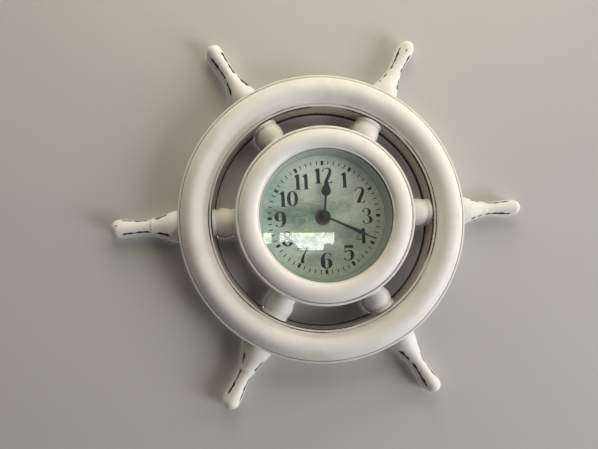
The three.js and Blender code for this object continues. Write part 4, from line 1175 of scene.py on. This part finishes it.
def lamp(name, azimuth, elevation, distance, size, power, tint):
    """Places an area lamp round the clock: azimuth 0 is straight in front and 90 is to the right."""
    a, e = math.radians(azimuth), math.radians(elevation)
    outwards = np.array([math.sin(a) * math.cos(e), -math.cos(a) * math.cos(e), math.sin(e)])
    data = bpy.data.lights.new(name, "AREA")
    data.shape = "RECTANGLE"
    data.size, data.size_y = size
    data.energy = power
    data.color = colour(tint)[:3]
    made = bpy.data.objects.new(name, data)
    bpy.context.scene.collection.objects.link(made)
    made.location = CENTRE + distance * outwards
    made.rotation_euler = Vector(-outwards).to_track_quat("-Z", "Y").to_euler()
    return made


BROAD = (1.2, 1.2)
for name, azimuth, elevation, size, power, tint in [
    ("window_sky", 78, 18, (1.6, 0.6), 17, "fff0cc"), ("window_top", 60, 35, BROAD, 12, "f6fbff"),
    ("window_ground", 60, -24, BROAD, 42, "fafbff"), ("high_left", -90, 60, BROAD, 11, "fffcf0"),
    ("left", -60, 35, BROAD, 5, "fff5e2"), ("overhead", 10, 78, BROAD, 12, "fff9ea"),
]:
    lamp(name, azimuth, elevation, LAMP_DISTANCE, size, power, tint)
lamp("ceiling", azimuth=6, elevation=52, distance=0.75, size=(0.5, 0.5), power=2.5, tint="fff2d8")
print("lamps: %d" % len(bpy.data.lights))

# %% [markdown]
# The glass mirrors a window that lies behind the camera. A small lamp far back stands for it. It
# adds no light to matt surfaces, and only shiny ones mirror it. Its place follows from the mirror
# rule, and it leans a little, as the reflection does.

# %% Window in the glass
GLINT_LEAN = math.radians(-3.0)
glint = lamp(
    "window_behind", azimuth=4.84, elevation=1.95, distance=3.02, size=(0.473, 0.118), power=1.7,
    tint="ffffff")
glint.visible_diffuse = False
glint.rotation_euler.rotate_axis("Z", GLINT_LEAN)
print("window in the glass at", [round(value, 2) for value in glint.location])

# %% [markdown]
# Through the window show leaves with bright sky between them, sunlit yellow towards the top, a post
# near one end, and dark bushes along the foot. The pattern is laid on the lamp's own face, which
# runs from 0 to 1 both ways, and a curve from side to side gives the height of the bushes.

# %% Leaves outside the window
BUSHES = [
    (0.12, 0.46), (0.235, 0.49), (0.4, 0.47), (0.52, 0.08), (0.6, 0.03), (0.83, 0.03), (0.86, 0.34),
    (0.915, 0.42), (0.97, 0.33),
]
POST_MIDDLE, POST_HALF = 0.172, 0.058
BUSH_EDGE = 0.03
pane = glint.data
pane.use_nodes = True
pane.node_tree.nodes.clear()
face = add(pane, "ShaderNodeNewGeometry").outputs["Parametric"]
apart = add(pane, "ShaderNodeSeparateXYZ", {0: face})
across, upwards = apart.outputs["X"], apart.outputs["Y"]
square = add(pane, "ShaderNodeMapping", {"Vector": face, "Scale": (4.0, 1.0, 1.0)}).outputs[0]
leaves = add(pane, "ShaderNodeTexNoise", {"Vector": square, "Scale": 2.6, "Detail": 4.0, "Roughness": 0.6})
gaps = add(pane, "ShaderNodeMapRange", {"Value": leaves.outputs["Fac"], "From Min": 0.42, "From Max": 0.64})
outside = add(pane, "ShaderNodeMix", {
    "Factor": gaps.outputs[0], "A": colour("b4c2b6"), "B": colour("f8fcfa")}, data_type="RGBA")
sunlit = add(pane, "ShaderNodeTexNoise", {"Vector": square, "Scale": 1.3, "Detail": 2.0})
high = add(pane, "ShaderNodeMath", {0: sunlit.outputs["Fac"], 1: upwards, 2: -0.1}, operation="MULTIPLY_ADD")
yellow = add(pane, "ShaderNodeMapRange", {
    "Value": high.outputs[0], "From Min": 0.28, "From Max": 0.42, "To Max": 0.8})
coloured = add(pane, "ShaderNodeMix", {
    "Factor": yellow.outputs[0], "A": outside.outputs["Result"], "B": colour("f2fbc8")}, data_type="RGBA")
post = add(pane, "ShaderNodeMath", {0: across, 1: POST_MIDDLE, 2: POST_HALF}, operation="COMPARE")
low = add(pane, "ShaderNodeFloatCurve", {"Value": across})
outline = low.mapping.curves[0]
for place, height in BUSHES:
    outline.points.new(place, height)
low.mapping.update()
above = add(pane, "ShaderNodeMath", {0: upwards, 1: low.outputs[0]}, operation="SUBTRACT")
clear = add(pane, "ShaderNodeMapRange", {
    "Value": above.outputs[0], "From Min": -BUSH_EDGE, "From Max": BUSH_EDGE})
open_part = add(pane, "ShaderNodeMath", {
    0: clear.outputs[0], 1: post.outputs[0]}, operation="SUBTRACT", use_clamp=True)
shining = add(pane, "ShaderNodeEmission", {
    "Color": coloured.outputs["Result"], "Strength": open_part.outputs[0]})
add(pane, "ShaderNodeOutputLight", {"Surface": shining.outputs[0]})
print("window pattern: %d nodes" % len(pane.node_tree.nodes))

# %% [markdown]
# No light reaches the clock's back past the wall. One lamp behind it lights that side alone: the
# wall doesn't block it, and it is small and square on, so nothing that faces the front is lit.

# %% Lamp behind
back_lamp = lamp(
    "back_fill", azimuth=178, elevation=2, distance=3.2, size=(0.3, 0.3), power=60, tint="ffffff")
unblocked = bpy.data.collections.new("does_not_block_back_fill")
unblocked.objects.link(backdrop)
unblocked.collection_objects[0].light_linking.link_state = "EXCLUDE"
back_lamp.light_linking.blocker_collection = unblocked

# %% [markdown]
# Beyond the lamps the room is dim. The camera sees it as a plain grey past the wall's edges, and
# glass and metal mirror a grey that is brighter towards the ceiling. Both are told apart from the
# light on the clock by the kind of ray.

# %% Room
world = bpy.data.worlds.new("room")
bpy.context.scene.world = world
world.use_nodes = True
world.node_tree.nodes.clear()
room = add(world, "ShaderNodeBackground", {"Color": colour("fff6ea"), "Strength": 0.02})
way = add(world, "ShaderNodeTexCoord").outputs["Generated"]
height = add(world, "ShaderNodeSeparateXYZ", {0: way}).outputs["Z"]
lift = add(world, "ShaderNodeMapRange", {"Value": height, "From Min": -0.02, "From Max": 0.22})
dusk = add(world, "ShaderNodeMix", {
    "Factor": lift.outputs[0], "A": colour("3e403c"), "B": colour("969a92")}, data_type="RGBA")
mirrored = add(world, "ShaderNodeBackground", {"Color": dusk.outputs["Result"], "Strength": 1.0})
seen = add(world, "ShaderNodeBackground", {"Color": colour("b4b2ae"), "Strength": 1.0})
rays = add(world, "ShaderNodeLightPath")
through = add(world, "ShaderNodeMath", {
    0: rays.outputs["Is Glossy Ray"], 1: rays.outputs["Is Transmission Ray"]}, operation="MAXIMUM")
reflected = add(world, "ShaderNodeMixShader", {
    0: through.outputs[0], 1: room.outputs[0], 2: mirrored.outputs[0]})
sky = add(world, "ShaderNodeMixShader", {
    0: rays.outputs["Is Camera Ray"], 1: reflected.outputs[0], 2: seen.outputs[0]})
add(world, "ShaderNodeOutputWorld", {"Surface": sky.outputs[0]})
print("room: %d nodes" % len(world.node_tree.nodes))

# %% [markdown]
# The camera stands where the photographer did: a little left of the clock and below its
# middle, half a metre away, looking slightly right and up and leaning a few degrees.

# %% Camera
CAMERA_PLACE = (-71.9, -508.2, -43.4)
YAW, PITCH, ROLL = (math.radians(a) for a in (5.53, 4.30, -3.48))
FOCAL_PIXELS = 520.0
IMAGE_WIDTH = 598
SENSOR = 36.0
forward = np.array([math.sin(YAW) * math.cos(PITCH), math.cos(YAW) * math.cos(PITCH), math.sin(PITCH)])
level_right = np.array([math.cos(YAW), -math.sin(YAW), 0.0])
level_up = np.cross(level_right, forward)
right = math.cos(ROLL) * level_right + math.sin(ROLL) * level_up
up = -math.sin(ROLL) * level_right + math.cos(ROLL) * level_up
camera_data = bpy.data.cameras.new("photo_view")
camera_data.sensor_width = SENSOR
camera_data.lens = FOCAL_PIXELS / IMAGE_WIDTH * SENSOR
camera = bpy.data.objects.new("photo_view", camera_data)
bpy.context.scene.collection.objects.link(camera)
turn = Matrix([[right[k], up[k], -forward[k]] for k in range(3)]).to_4x4()
from_axis = np.array(CAMERA_PLACE) + [AXIS_X, 0, AXIS_Z]
camera.matrix_world = Matrix.Translation(from_axis * MM) @ turn
bpy.context.scene.camera = camera
bpy.context.scene.view_settings.view_transform = "Standard"
print("lens %.1f mm" % camera_data.lens)

# %% [markdown]
# Last, the box round the dressed clock is measured beside the model's own, so that anyone can see
# that the pieces made here are as large as the ones they stand for.

# %% Sizes and finish
visual_box = [list(corner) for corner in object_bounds()]
growth = (np.array(visual_box) - np.array(cad_box)) / MM
print("box grew by mm:", growth.round(2).tolist())
